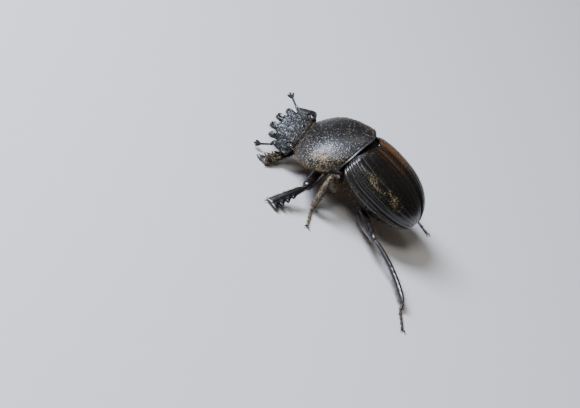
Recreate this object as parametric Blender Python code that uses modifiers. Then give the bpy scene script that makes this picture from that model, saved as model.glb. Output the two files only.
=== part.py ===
"""Dung beetle of the Kheper type: a still, life-size model of the whole living animal.

The head points toward -X and the beetle's left side toward -Y. The feet stand on small flats
at z = 0, and the middle of the stance is at the origin. Every body part is one closed solid.
"""
import math

import bmesh
import bpy
from mathutils import Matrix, Vector

MM = 0.001
LEFT, RIGHT = -1, 1
SIDES = {"left": LEFT, "right": RIGHT}

# ------------------------------------------------------------ driving dimensions (mm and degrees)
ELYTRA_LENGTH = 17.8
ELYTRA_HALF_WIDTH = 9.5
ELYTRA_HEIGHT = 6.0
ELYTRON_THICKNESS = 0.75
SUTURE_GAP = 0.26
SCUTELLUM_NOTCH = 1.9    # the elytra start this much further back at the suture
SHOULDER_REACH = 0.3
TURNED_REACH = 0.42      # added on the right, where the prothorax is turned away from the elytron;
TURNED_FADE = 0.17       # it is gone at the margin, over this much of the sine of the turn
MARGIN_DROP = 1.05       # the elytra's margin is folded down this far,
DROP_RUN = 0.35          # fully so behind this share of their length
BELLY_DEPTH = 4.9
PRONOTUM_LENGTH = 11.0
PRONOTUM_HALF_WIDTH = 9.75
PRONOTUM_HEIGHT = 4.7
PROSTERNUM_DEPTH = 3.3
BASE_REACH = 1.85        # the middle of the shield's hind edge reaches back over the elytra
BASE_CORNER = 1.4        # its hind corners are rounded off by this much
BASE_POINT, POINT_WIDTH = 0.85, 0.40    # and its very middle juts out further, over this share of the width
HEAD_DOME = 1.25
HEAD_DEPTH = 2.0
HEAD_EDGE = 0.27         # half the thickness of the head's rim
BODY_GAP = 0.28          # between one plate of the trunk and the next
JOINT_GAP = 0.22         # between one leg segment and the next
WELD = 0.002             # points closer than this are one point
SHARP_ANGLE = 40.0       # an edge that turns more than this stays a crease
ROUND_END = 9            # a leg segment's ends are rounded by this power
BLUNT_END = 0.25         # and its very tip keeps this share of the width

BODY_HEIGHT = 9.5        # of the elytra's front margin above the floor
BODY_PITCH = 10.0        # the tail end hangs lower than the shoulders
PROTHORAX_PITCH, PROTHORAX_YAW, PROTHORAX_ROLL = -32.8, 0.9, 9.8
HEAD_PITCH, HEAD_YAW, HEAD_ROLL = 9.0, -5.8, 22.0
PROTHORAX_JOINT = Vector((-0.14, 0.0, 1.06))    # in the trunk's frame
HEAD_JOINT = Vector((-11.6, 0.0, 0.32))         # in the prothorax's frame
STANCE_SHIFT = Vector((-4.8, 4.0, 0.0))         # brings the middle of the stance to the origin

# The head's right half seen from above: neck, cheek, notch of the feeler, then the front's teeth
HEAD_OUTLINE = (
    (2.0, 0.0), (1.7, 2.1), (0.4, 3.2), (0.0, 4.4), (-1.0, 6.25), (-2.9, 5.75), (-4.65, 4.95),
    (-4.25, 4.0), (-5.3, 3.9), (-6.15, 3.4), (-5.4, 2.05), (-6.85, 1.65), (-7.3, 1.1), (-7.05, 0.7),
    (-5.5, 0.0),
)
HEAD_MIDDLE = Vector((-3.1, 0.0, 0.0))
EYE_PLACE, EYE_RADII = Vector((-0.7, 4.2, 0.3)), Vector((1.0, 0.55, 0.8))

# Where each hip starts and where its coxa ends, in the frame of the plate that carries it
HIPS = {
    "front": (Vector((-5.0, 2.7, -1.9)), Vector((-6.4, 3.5, -4.7))),
    "middle": (Vector((2.7, 3.2, -3.0)), Vector((2.3, 4.3, -5.5))),
    "hind": (Vector((7.4, 2.2, -3.4)), Vector((8.1, 4.0, -5.7))),
}
# Knee, ankle and toe on the floor's frame before the shift; a front leg ends at its tibia's tip
LEG_JOINTS = {
    ("front", "left"): (Vector((-3.6, -12.6, 3.7)), Vector((-6.6, -20.9, 0.42))),
    ("front", "right"): (Vector((-10.2, 1.0, 2.6)), Vector((-13.75, -8.9, 0.40))),
    ("middle", "left"): (Vector((-1.0, -10.6, 7.4)), Vector((-0.2, -11.8, 1.2)), Vector((1.5, -18.4, 0.27))),
    ("middle", "right"): (Vector((-1.4, 10.9, 7.4)), Vector((-1.2, 12.6, 1.2)), Vector((0.6, 19.2, 0.27))),
    ("hind", "left"): (Vector((13.3, -13.1, 4.2)), Vector((25.1, -21.0, 1.3)), Vector((28.0, -27.2, 0.27))),
    ("hind", "right"): (Vector((2.9, 12.5, 6.2)), Vector((13.7, 15.9, 1.3)), Vector((20.2, 11.8, 0.27))),
}


# ------------------------------------------------------------------------- scene and finishes
def clear_scene():
    """Removes what a new file holds, so that the script builds the same model each time."""
    for item in list(bpy.data.objects):
        bpy.data.objects.remove(item, do_unlink=True)


def new_collection(name):
    """Adds a collection of that name to the scene."""
    collection = bpy.data.collections.new(name)
    bpy.context.scene.collection.children.link(collection)
    return collection


def chitin(name, colour, roughness):
    """A Principled material with the colour (linear), roughness and no metal of one kind of shell."""
    material = bpy.data.materials.new(name)
    material.use_nodes = True
    shader = material.node_tree.nodes["Principled BSDF"]
    shader.inputs["Base Color"].default_value = (*colour, 1.0)
    shader.inputs["Roughness"].default_value = roughness
    shader.inputs["Metallic"].default_value = 0.0
    return material


clear_scene()
BEETLE = new_collection("dung_beetle")
CUTTERS = new_collection("cutters")
SHELL_BLACK = chitin("shell_black", (0.018, 0.018, 0.020), 0.38)
SHELL_MATT = chitin("shell_matt", (0.028, 0.028, 0.032), 0.55)
SHELL_BROWN = chitin("underside_brown_black", (0.022, 0.016, 0.012), 0.45)
EYE_GLOSS = chitin("eye_gloss", (0.010, 0.008, 0.008), 0.12)


# ------------------------------------------------------------------------------------- frames
def frame_matrix(origin, pitch=0.0, yaw=0.0, roll=0.0):
    """A frame at origin (mm), turned by its roll first, then its yaw, then its pitch (degrees)."""
    turn = Matrix.Rotation(math.radians(pitch), 3, "Y")
    turn = turn @ Matrix.Rotation(math.radians(yaw), 3, "Z")
    turn = turn @ Matrix.Rotation(math.radians(roll), 3, "X")
    return Matrix.Translation(origin * MM) @ turn.to_4x4()


def frame_empty(name, matrix, parent=None):
    """An empty that carries the parts of one frame."""
    empty = bpy.data.objects.new(name, None)
    empty.rotation_mode = "XZY"
    empty.parent = parent
    empty.matrix_basis = matrix
    BEETLE.objects.link(empty)
    return empty


STANCE_MATRIX = frame_matrix(STANCE_SHIFT)
TRUNK_MATRIX = frame_matrix(Vector((0.0, 0.0, BODY_HEIGHT)), BODY_PITCH)
PROTHORAX_MATRIX = frame_matrix(PROTHORAX_JOINT, PROTHORAX_PITCH, PROTHORAX_YAW, PROTHORAX_ROLL)
HEAD_MATRIX = frame_matrix(HEAD_JOINT, HEAD_PITCH, HEAD_YAW, HEAD_ROLL)
STANCE = frame_empty("stance", STANCE_MATRIX)
TRUNK = frame_empty("trunk", TRUNK_MATRIX, STANCE)
PROTHORAX = frame_empty("prothorax_frame", PROTHORAX_MATRIX, TRUNK)
HEAD = frame_empty("head_frame", HEAD_MATRIX, PROTHORAX)


def on_floor_frame(point, *frames):
    """A point (mm) of the innermost frame, told on the floor's frame (mm)."""
    placed = point * MM
    for frame in reversed(frames):
        placed = frame @ placed
    return placed / MM


# ------------------------------------------------------------------------------- mesh helpers
def add_part(name, skin, material, frame, cutter=False, closed=True):
    """Makes an object in a frame from a skin, which is a pair of vertices (mm) and faces."""
    vertices, faces = skin
    mesh = bpy.data.meshes.new(name)
    mesh.from_pydata([vertex * MM for vertex in vertices], [], faces)
    body = bmesh.new()
    body.from_mesh(mesh)
    bmesh.ops.remove_doubles(body, verts=body.verts, dist=WELD * MM)
    bmesh.ops.recalc_face_normals(body, faces=body.faces)
    if not closed and sum((face.normal * face.calc_area() for face in body.faces), Vector()).z < 0:
        bmesh.ops.reverse_faces(body, faces=body.faces)
    body.to_mesh(mesh)
    body.free()
    mesh.shade_smooth()
    mesh.set_sharp_from_angle(angle=math.radians(SHARP_ANGLE))
    mesh.materials.append(material)
    part = bpy.data.objects.new(name, mesh)
    part.parent = frame
    (CUTTERS if cutter else BEETLE).objects.link(part)
    if cutter:
        part.hide_render = True
        part.display_type = "WIRE"
    return part


def boolean(part, tool, operation="DIFFERENCE"):
    """Cuts a tool away from a part, or joins it on."""
    modifier = part.modifiers.new(operation.lower() + "_" + tool.name, "BOOLEAN")
    modifier.operation = operation
    modifier.object = tool
    modifier.solver = "EXACT"


def settle(part):
    """Applies a part's cuts and keeps its main piece, without the crumbs that a cut can leave."""
    depsgraph = bpy.context.evaluated_depsgraph_get()
    mesh = bpy.data.meshes.new_from_object(part.evaluated_get(depsgraph))
    part.modifiers.clear()
    body = bmesh.new()
    body.from_mesh(mesh)
    bmesh.ops.remove_doubles(body, verts=body.verts, dist=WELD * MM)
    bmesh.ops.dissolve_degenerate(body, edges=body.edges, dist=WELD * MM)
    left = set(body.verts)
    pieces = []
    while left:
        piece, edge_of_piece = set(), [left.pop()]
        while edge_of_piece:
            vertex = edge_of_piece.pop()
            piece.add(vertex)
            for edge in vertex.link_edges:
                other = edge.other_vert(vertex)
                if other in left:
                    left.remove(other)
                    edge_of_piece.append(other)
        pieces.append(piece)
    pieces.sort(key=len)
    crumbs = [vertex for piece in pieces[:-1] for vertex in piece]
    bmesh.ops.delete(body, geom=crumbs, context="VERTS")
    bmesh.ops.triangulate(body, faces=body.faces)
    body.to_mesh(mesh)
    body.free()
    mesh.name = part.name
    part.data = mesh


def middle(ring):
    """The mean point of a ring."""
    return sum(ring, Vector()) / len(ring)


def loft(rings, start=None, end=None):
    """A closed skin through rings of equal count, whose ends close on a point each."""
    count = len(rings[0])
    vertices = [point for ring in rings for point in ring]
    faces = []
    for row in range(len(rings) - 1):
        for column in range(count):
            a, b = row * count + column, row * count + (column + 1) % count
            faces.append((a, b, b + count, a + count))
    ends = ((0, start or middle(rings[0])), ((len(rings) - 1) * count, end or middle(rings[-1])))
    for first, pole in ends:
        vertices.append(pole)
        for column in range(count):
            faces.append((first + column, first + (column + 1) % count, len(vertices) - 1))
    return vertices, faces


def spaced(count, low=0.0, high=1.0):
    """Evenly spaced numbers, both ends included."""
    return [low + (high - low) * step / (count - 1) for step in range(count)]


def limb(path, widths, wide_way, sides=9, grow=0.0):
    """A closed limb along a path: widths(t) gives half its width and half its depth (mm) at t in 0..1.

    wide_way is the direction of its width; grow makes the limb thicker and longer, for a cutter.
    """
    rings = []
    for index, point in enumerate(path):
        ahead = path[min(index + 1, len(path) - 1)] - path[max(index - 1, 0)]
        along = ahead.normalized()
        across = (wide_way - along * wide_way.dot(along)).normalized()
        up = along.cross(across)
        half_width, half_depth = widths(index / (len(path) - 1))
        spots = [math.tau * side / sides for side in range(sides)]
        if index == 0:
            point = point - along * grow
            start = point
        if index == len(path) - 1:
            point = point + along * grow
            end = point
        rings.append([
            point + across * (math.cos(spot) * (half_width + grow))
            + up * (math.sin(spot) * (half_depth + grow))
            for spot in spots
        ])
    return loft(rings, start, end)


def rounded_path(start, end, bow, count):
    """Points from start to end, bowed sideways, closer together near both round ends."""
    steps = [0.5 - 0.5 * math.cos(math.pi * share) for share in spaced(count)]
    return [start.lerp(end, step) + bow * (4 * step * (1 - step)) for step in steps], steps


def segment(start, end, profile, wide_way, bow=Vector(), rings=9, sides=9, grow=0.0):
    """A leg segment with round ends; profile(s) gives half width and half depth at the share s."""
    path, steps = rounded_path(start, end, bow, rings)

    def widths(t):
        step = steps[round(t * (rings - 1))]
        round_off = max(max(1 - abs(2 * step - 1) ** ROUND_END, 0.0) ** 0.5, BLUNT_END)
        half_width, half_depth = profile(step)
        return half_width * round_off, half_depth * round_off

    return limb(path, widths, wide_way, sides, grow)


def ellipsoid(centre, radii, grow=0.0, columns=10, rows=5):
    """A closed skin over an ellipsoid."""
    rings = []
    for tilt in spaced(rows, -0.42 * math.pi, 0.42 * math.pi):
        rings.append([
            centre + Vector((
                (radii.x + grow) * math.cos(tilt) * math.cos(math.tau * column / columns),
                (radii.y + grow) * math.cos(tilt) * math.sin(math.tau * column / columns),
                (radii.z + grow) * math.sin(tilt),
            ))
            for column in range(columns)
        ])
    reach = Vector((0, 0, radii.z + grow))
    return loft(rings, centre - reach, centre + reach)


def mirrored(point, side):
    """A point given for the right side, on the side asked for."""
    return Vector((point.x, point.y * side, point.z))


# ------------------------------------------------------------------------------ hind body
def elytra_width_share(share):
    """Half width of the elytra at a share of their length, as a share of the widest."""
    if share > 0.28:
        return max(1 - ((share - 0.28) / 0.72) ** 2.7, 0.0) ** (1 / 2.03)
    shoulder = max(1 - share * ELYTRA_LENGTH, 0.0)
    return (1 - 0.09 * (1 - share / 0.28) ** 2) * (1 - 0.10 * shoulder ** 2)


def elytra_height_share(share):
    """Height of the elytra at a share of their length, as a share of the highest."""
    if share > 0.33:
        return max(1 - ((share - 0.33) / 0.67) ** 2.55, 0.0) ** (1 / 1.8)
    return 1 - 0.16 * (1 - share / 0.33) ** 2


def vault(share, turn, inset=0.0):
    """A point of the domed back: turn runs from -90 degrees at the left margin to 90 at the right."""
    sine, cosine = math.sin(turn), max(math.cos(turn), 0.0)
    return Vector((
        (ELYTRA_LENGTH - inset) * share,
        (ELYTRA_HALF_WIDTH - inset) * elytra_width_share(share) * math.copysign(abs(sine) ** 0.92, sine),
        (ELYTRA_HEIGHT - inset) * elytra_height_share(share) * cosine ** 0.85,
    ))


def elytron(side):
    """The open sheet of one wing case, from the suture to the margin; Solidify thickens it."""
    columns = 10
    shares = [0.0, 0.035] + spaced(12, 0.08)    # the narrow shoulder needs a row of its own
    rows = len(shares)
    turned = TURNED_REACH if side > 0 else 0.0
    vertices = []
    for u in shares:
        for turn in spaced(columns, 0.0, math.pi / 2):
            reach = SHOULDER_REACH + turned * min((1 - math.sin(turn)) / TURNED_FADE, 1.0)
            front = (SCUTELLUM_NOTCH * (1 - math.sin(turn)) ** 1.5 - reach) / ELYTRA_LENGTH
            share = 1 - (1 - front) * (1 - u) ** 1.6
            point = vault(share, turn)
            run = math.sin(min(max(share / DROP_RUN, 0.0), 1.0) * math.pi / 2)
            fold = MARGIN_DROP * math.sin(turn) ** 6 * run
            vertices.append(Vector((point.x, side * (point.y + SUTURE_GAP / 2), point.z - fold)))
    faces = []
    for row in range(rows - 1):
        for column in range(columns - 1):
            a = row * columns + column
            faces.append((a, a + 1, a + columns + 1, a + columns))
    return vertices, faces


def belly_depth(x):
    """How far the underside lies below the elytra's margin, x behind their front edge."""
    if x < 8.0:
        return BELLY_DEPTH * (0.80 + 0.20 * math.sin(max(x, 0.0) / 8.0 * math.pi / 2))
    return 0.25 + (BELLY_DEPTH - 0.25) * max(1 - ((x - 8.0) / (ELYTRA_LENGTH - 8.6)) ** 2.0, 0.0) ** 0.62


def trunk_ring(x, inset, width=1.0, roof=1.0):
    """A section of the body under the elytra, x behind their front edge."""
    length = ELYTRA_LENGTH - inset
    share = min(max(x / length, 0.0), 1.0)
    top = [vault(share, turn, inset) for turn in spaced(13, -math.pi / 2, math.pi / 2)]
    under = []
    for turn in spaced(11, math.pi / 2, -math.pi / 2)[1:-1]:
        point = vault(share, turn, inset)
        under.append(Vector((point.x, point.y, -belly_depth(x) * max(math.cos(turn), 0.0) ** 0.9)))
    ring = []
    for point in top + under:
        lift = roof if point.z > 0 else 1.0
        ring.append(Vector((x, point.y * width, point.z * lift)))
    return ring


def thorax_skin(grow=0.0):
    """The middle and hind thorax as one solid, with the narrow collar that enters the prothorax."""
    inset = ELYTRON_THICKNESS + BODY_GAP - grow
    rings = [trunk_ring(x - grow, inset, width, roof) for x, width, roof in
             ((-1.9, 0.42, 0.35), (-0.9, 0.62, 0.62), (0.1, 0.86, 0.84), (1.0, 0.96, 0.95))]
    rings += [trunk_ring(x, inset) for x in spaced(5, 1.6, 8.2 + grow)]
    return loft(rings)


def abdomen_skin(grow=0.0):
    """The abdomen with its rear plate, from the hind thorax to under the elytra's tips."""
    inset = ELYTRON_THICKNESS + BODY_GAP - grow
    start, end = 8.2 + BODY_GAP - grow, ELYTRA_LENGTH - inset
    shares = [1 - (1 - u) ** 1.8 for u in spaced(9)]
    rings = [trunk_ring(start + (end - start) * share, inset) for share in shares[:-1]]
    return loft(rings, end=Vector((end, 0.0, 0.0)))


# --------------------------------------------------------------------------------- prothorax
def pronotum_point(u, v, under=False):
    """A point of the prothorax: u runs from its front edge to its base, v from left to right."""
    front = -PRONOTUM_LENGTH + 0.4 - abs(v) ** 2
    base = BASE_REACH * (1 - v ** 2) - BASE_CORNER * abs(v) ** 7
    base += BASE_POINT * math.exp(-(v / POINT_WIDTH) ** 2)
    if u < 0.48:
        width = 0.62 + 0.38 * math.sin(math.pi / 2 * u / 0.48)
    else:
        width = 1 - 0.15 * ((u - 0.48) / 0.52) ** 2
    if u < 0.6:
        arch = 0.54 + 0.46 * math.sin(math.pi / 2 * u / 0.6)
    else:
        arch = 1 - 0.10 * ((u - 0.6) / 0.4) ** 2
    margin = -0.3 * (1 - u) ** 2
    if under:
        height = margin - PROSTERNUM_DEPTH * (0.7 + 0.3 * math.sin(math.pi * u)) * (1 - abs(v) ** 2.4) ** 0.7
    else:
        height = margin + PRONOTUM_HEIGHT * arch * (1 - abs(v) ** 2.1) ** 0.62
    return Vector((front * (1 - u) + base * u, PRONOTUM_HALF_WIDTH * width * v, height))


def cup(rim, way, depth):
    """Rings that sink from a rim along X (way is 1 or -1), as the opening for the neck or the collar."""
    core = middle(rim)
    rings = []
    for scale, sink in ((0.72, depth), (0.80, 0.35)):
        rings.append([core + (point - core) * scale + Vector((way * sink, 0.0, 0.0)) for point in rim])
    return rings


def prothorax_skin(grow=0.0):
    """The prothorax: the broad domed shield above and the breast plate below."""
    rings = []
    for u in spaced(12):
        over = [pronotum_point(u, math.sin(turn)) for turn in spaced(19, -math.pi / 2, math.pi / 2)]
        under = [pronotum_point(u, math.sin(turn), True)
                 for turn in spaced(11, math.pi / 2, -math.pi / 2)[1:-1]]
        ring = over + under
        if grow:
            core = middle(ring)
            ring = [point + (point - core).normalized() * grow for point in ring]
        rings.append(ring)
    if grow:
        return loft(rings)
    return loft(cup(rings[0], 1, 2.6) + rings + cup(rings[-1], -1, 1.8)[::-1])


# -------------------------------------------------------------------------------------- head
def head_outline(step=1.15):
    """The head's whole outline in steps of about that many mm, teeth and cheeks included."""
    half = [Vector((x, y, 0.0)) for x, y in HEAD_OUTLINE]
    corners = half + [mirrored(point, LEFT) for point in half[-2:0:-1]]
    outline = []
    for here, there in zip(corners, corners[1:] + corners[:1]):
        pieces = max(1, round((there - here).length / step))
        outline += [here.lerp(there, piece / pieces) for piece in range(pieces)]
    return outline


def head_skin(grow=0.0):
    """The head: a flat toothed shield in front, domed above and deep below toward the neck."""
    outline = head_outline()

    def ring(scale, height):
        points = []
        for corner in outline:
            spot = HEAD_MIDDLE + (corner - HEAD_MIDDLE) * scale
            rear = min(max((spot.x + 7.0) / 6.0, 0.0), 1.0)
            spot += (corner - HEAD_MIDDLE).normalized() * (grow * scale)
            points.append(Vector((spot.x, spot.y, height(scale, rear))))
        return points

    def over(scale, rear):
        return HEAD_EDGE + grow + HEAD_DOME * (0.45 + 0.55 * rear) * (1 - scale ** 2.2) ** 0.9

    def under(scale, rear):
        return -HEAD_EDGE - grow - HEAD_DEPTH * (0.12 + 0.88 * rear ** 1.5) * (1 - scale ** 2) ** 0.6

    rings = [ring(scale, under) for scale in (0.4, 0.8, 1.0)]
    rings += [ring(scale, over) for scale in (1.0, 0.9, 0.6, 0.3)]
    bottom, top = middle(rings[0]), middle(rings[-1])
    return loft(rings, bottom, top)


def mouth_skins():
    """The lower lip and the two palps under the head."""
    lip = segment(Vector((-1.2, 0.0, -2.5)), Vector((-4.3, 0.0, -1.5)), lambda s: (1.5 - 0.5 * s, 0.6),
                  Vector((0, 1, 0)), rings=6, sides=10)
    palps = [
        segment(mirrored(Vector((-3.2, 0.7, -2.0)), side), mirrored(Vector((-4.7, 2.3, -1.7)), side),
                lambda s: (0.34, 0.34), Vector((0, 0, 1)), rings=4, sides=6)
        for side in (LEFT, RIGHT)
    ]
    return lip, palps


# Feelers in the head's frame: root, bend, start of the club and the tips of its three leaves
FEELERS = {
    "left": (Vector((-3.2, -3.8, -0.75)), Vector((-5.0, -5.5, -0.4)), Vector((-6.1, -6.35, -0.3)),
             Vector((-7.9, -7.0, -0.25))),
    "right": (Vector((-3.2, 3.9, -0.75)), Vector((-5.6, 5.85, -0.4)), Vector((-6.6, 6.7, -0.3)),
              Vector((-8.25, 7.85, -0.2))),
}


def feeler_skin(root, bend, club):
    """The long first joint of a feeler and the small ones after it."""
    path = rounded_path(root, bend, Vector((0, 0, 0.15)), 6)[0] + rounded_path(bend, club, Vector(), 4)[0][1:]
    return limb(path, lambda t: (0.34 - 0.07 * math.sin(math.pi * t), 0.3), Vector((0, 0, 1)), sides=7)


def club_leaves(club, tip):
    """Three flat leaves that spread from the end of a feeler."""
    along = (tip - club).normalized()
    sideways = along.cross(Vector((0, 0, 1))).normalized()
    length = (tip - club).length
    leaves = [ellipsoid(club, Vector((0.42, 0.42, 0.42)), columns=8, rows=4)]
    for spread, reach in ((-0.42, 0.86), (0.03, 1.0), (0.45, 0.9)):
        way = (along + sideways * spread).normalized()
        leaves.append(segment(club - way * 0.1, club + way * (length * reach),
                              lambda s: (0.3 + 0.36 * math.sin(math.pi * s), 0.26),
                              Vector((0, 0, 1)), rings=4, sides=6))
    return leaves


# -------------------------------------------------------------------------------------- legs
def coxa_skin(start, end, radius, grow=0.0):
    """The short stout hip piece that a leg turns on."""
    return segment(start, end, lambda s: (radius * (1.08 - 0.2 * s), radius * (0.98 - 0.2 * s)),
                   Vector((1, 0, 0)), rings=8, sides=11, grow=grow)


FEMUR_SIZES = {"front": (1.75, 1.15), "middle": (1.45, 0.85), "hind": (1.4, 0.8)}
TIBIA_SIZES = {"middle": (0.52, 1.05), "hind": (0.48, 0.82)}


def femur_skin(leg, hip, knee, grow=0.0):
    """A thigh, widest a third of the way along."""
    half_width, half_depth = FEMUR_SIZES[leg]

    def profile(s):
        swell = 0.62 + 0.38 * math.sin(math.pi * min(0.18 + s, 1.0))
        return half_width * swell, half_depth * (0.75 + 0.25 * swell)

    return segment(hip, knee, profile, Vector((0, 0, 1)), rings=8, sides=9, grow=grow)


def tibia_skin(leg, knee, ankle, bow, grow=0.0):
    """A middle or hind shin, which widens toward the foot."""
    thin, broad = TIBIA_SIZES[leg]

    def profile(s):
        return thin + (broad - thin) * s ** 1.6, thin * 0.95 + (broad - thin) * 0.35 * s ** 1.6

    return segment(knee, ankle, profile, Vector((0, 0, 1)), bow, rings=9, sides=8, grow=grow)


TIBIA_TEETH = ((0.40, 0.65), (0.58, 0.95), (0.76, 1.15), (0.95, 1.2))   # place along, reach (mm)


def digging_shin(knee, toe, side):
    """A front shin: a flat blade with four teeth on its outer edge and no foot at its end.

    The outer edge is behind on a leg held out to its own side, and in front on one held across.
    """
    length = (toe - knee).length
    along = (toe - knee).normalized()
    outward = side * Vector((along.y, -along.x, 0.0))
    across = (outward - along * outward.dot(along)).normalized()
    normal = along.cross(across)

    def half_width(share):
        return 0.55 + 0.65 * share ** 0.8

    inner = [(share, -half_width(share)) for share in (0.96, 0.7, 0.4, 0.2)]
    outer = [(0.25, half_width(0.25))]
    for place, reach in TIBIA_TEETH:
        outer += [(place - 0.07, half_width(place - 0.07)), (place + 0.02, half_width(place) + reach * 0.62),
                  (place + 0.05, half_width(place) + reach * 0.5), (place + 0.055, half_width(place))]
    outline = [(0.04, -0.35), (0.04, 0.35)] + outer + [(1.0, 0.2), (1.0, -0.7)] + inner
    rings = []
    for inset, height in ((0.55, -0.42), (0.92, -0.26), (1.0, 0.0), (0.92, 0.26), (0.55, 0.42)):
        rings.append([
            knee + along * (length * (0.5 + (share - 0.5) * (0.94 + 0.06 * inset)))
            + across * (offset * inset) + normal * height
            for share, offset in outline
        ])
    return loft(rings)


def foot_path(ankle, toe):
    """The middle line of a foot: down from the ankle, then flat along the floor."""
    landing = Vector((ankle.x + (toe.x - ankle.x) * 0.22, ankle.y + (toe.y - ankle.y) * 0.22, toe.z))
    points = []
    for t in spaced(12):
        if t < 0.3:
            s = t / 0.3
            bend = ankle.lerp(landing, s)
            bend.z = toe.z + (ankle.z - toe.z) * (1 - s) ** 1.7
            points.append(bend)
        else:
            points.append(landing.lerp(toe, (t - 0.3) / 0.7))
    return points


def foot_skin(ankle, toe):
    """A foot of five short joints, each a little broader at its far end."""
    def widths(t):
        beat = (t * 5) % 1.0 if t < 1 else 1.0
        size = (0.42 - 0.10 * t) * (0.80 + 0.28 * beat)
        return size, max(size, 0.31)

    return limb(foot_path(ankle, toe), widths, Vector((0, 0, 1)), sides=7)


def claw_skin(ankle, toe, spread):
    """One of the two claws at the end of a foot."""
    along = toe - ankle
    along.z = 0.0
    along.normalize()
    sideways = Vector((-along.y, along.x, 0.0))
    root = toe - along * 0.3 + Vector((0.0, 0.0, 0.015 * spread))
    tip = toe + along * 0.95 + sideways * (0.55 * spread)
    return segment(root, tip, lambda s: (0.27 - 0.05 * s, 0.27 - 0.04 * s), Vector((0, 0, 1)),
                   bow=sideways * (0.14 * spread), rings=5, sides=5)


COXA_RADII = {"front": 1.6, "middle": 1.35, "hind": 1.4}
TIBIA_BOWS = {("hind", "left"): Vector((0.0, 1.3, 0.25)), ("hind", "right"): Vector((0.0, 0.9, 0.3))}


def build_leg(leg, side_name, carriers, floor):
    """One leg from hip to tip, each segment hollowed where it meets the one before it."""
    side = SIDES[side_name]
    name = f"{leg}_{{}}_{side_name}"
    frames = (TRUNK_MATRIX, PROTHORAX_MATRIX) if leg == "front" else (TRUNK_MATRIX,)
    start, hip = (on_floor_frame(mirrored(point, side), *frames) for point in HIPS[leg])
    knee, ankle = LEG_JOINTS[leg, side_name][:2]
    radius = COXA_RADII[leg]

    coxa = add_part(name.format("coxa"), coxa_skin(start, hip, radius), SHELL_BROWN, STANCE)
    for carrier in carriers:
        boolean(coxa, carrier)
    grown = add_part(coxa.name + "_grown", coxa_skin(start, hip, radius, JOINT_GAP),
                     SHELL_BROWN, STANCE, True)
    femur = add_part(name.format("femur"), femur_skin(leg, hip, knee), SHELL_BLACK, STANCE)
    boolean(femur, grown)
    for carrier in carriers:
        boolean(femur, carrier)
    grown = add_part(femur.name + "_grown", femur_skin(leg, hip, knee, JOINT_GAP),
                     SHELL_BLACK, STANCE, True)
    if leg == "front":
        tibia = add_part(name.format("tibia"), digging_shin(knee, ankle, side), SHELL_BLACK, STANCE)
        boolean(tibia, grown)
        boolean(tibia, floor)
        return
    bow = TIBIA_BOWS.get((leg, side_name), Vector((0.0, 0.0, 0.2)))
    toe = LEG_JOINTS[leg, side_name][2]
    tibia = add_part(name.format("tibia"), tibia_skin(leg, knee, ankle, bow), SHELL_BLACK, STANCE)
    boolean(tibia, grown)
    grown = add_part(tibia.name + "_grown", tibia_skin(leg, knee, ankle, bow, JOINT_GAP),
                     SHELL_BLACK, STANCE, True)
    tarsus = add_part(name.format("tarsus"), foot_skin(ankle, toe), SHELL_BROWN, STANCE)
    for spread in (-1, 1):
        claw = add_part(f"{tarsus.name}_claw_{spread}", claw_skin(ankle, toe, spread),
                        SHELL_BROWN, STANCE, True)
        boolean(tarsus, claw, "UNION")
    boolean(tarsus, grown)
    boolean(tarsus, floor)


# ---------------------------------------------------------------------------------- assembly
def build_trunk():
    """Wing cases, thorax and abdomen; gives the cases and the grown copies that the hips are cut against."""
    cases = []
    for side_name, side in SIDES.items():
        case = add_part(f"elytron_{side_name}", elytron(side), SHELL_BLACK, TRUNK, closed=False)
        thicken = case.modifiers.new("thickness", "SOLIDIFY")
        thicken.thickness = ELYTRON_THICKNESS * MM
        thicken.offset = -1.0
        cases.append(case)
    add_part("thorax", thorax_skin(), SHELL_BROWN, TRUNK)
    add_part("abdomen", abdomen_skin(), SHELL_BROWN, TRUNK)
    return cases, [
        add_part("thorax_grown", thorax_skin(BODY_GAP), SHELL_BROWN, TRUNK, cutter=True),
        add_part("abdomen_grown", abdomen_skin(BODY_GAP), SHELL_BROWN, TRUNK, cutter=True),
    ]


def build_prothorax(thorax_grown, cases):
    """The prothorax, hollowed behind for the thorax's collar; gives its grown copy."""
    shield = add_part("prothorax", prothorax_skin(), SHELL_MATT, PROTHORAX)
    boolean(shield, thorax_grown)
    grown = add_part("prothorax_grown", prothorax_skin(BODY_GAP), SHELL_MATT, PROTHORAX, cutter=True)
    for case in cases:
        boolean(case, grown)
    return shield, grown


def build_head(shield):
    """Head, eyes, mouthparts and feelers, with sockets in the head and the shield."""
    head = add_part("head", head_skin(), SHELL_MATT, HEAD)
    head_grown = add_part("head_grown", head_skin(BODY_GAP), SHELL_MATT, HEAD, cutter=True)
    boolean(shield, head_grown)
    for side_name, side in SIDES.items():
        place = mirrored(EYE_PLACE, side)
        add_part(f"eye_{side_name}", ellipsoid(place, EYE_RADII), EYE_GLOSS, HEAD)
        socket = add_part(f"eye_{side_name}_grown", ellipsoid(place, EYE_RADII, JOINT_GAP),
                          EYE_GLOSS, HEAD, True)
        boolean(head, socket)
        root, bend, club, tip = FEELERS[side_name]
        feeler = add_part(f"antenna_{side_name}", feeler_skin(root, bend, club), SHELL_BROWN, HEAD)
        boolean(feeler, head_grown)
        leaves = club_leaves(club + (tip - club).normalized() * (0.3 + JOINT_GAP), tip)
        knob = add_part(f"antenna_club_{side_name}", leaves[0], SHELL_BROWN, HEAD)
        for index, leaf in enumerate(leaves[1:]):
            extra = add_part(f"antenna_club_{side_name}_leaf_{index}", leaf, SHELL_BROWN, HEAD, cutter=True)
            boolean(knob, extra, "UNION")
    lip, palps = mouth_skins()
    mouth = add_part("mouthparts", lip, SHELL_BROWN, HEAD)
    for index, palp in enumerate(palps):
        boolean(mouth, add_part(f"palp_{index}", palp, SHELL_BROWN, HEAD, cutter=True), "UNION")
    boolean(mouth, head_grown)


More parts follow.
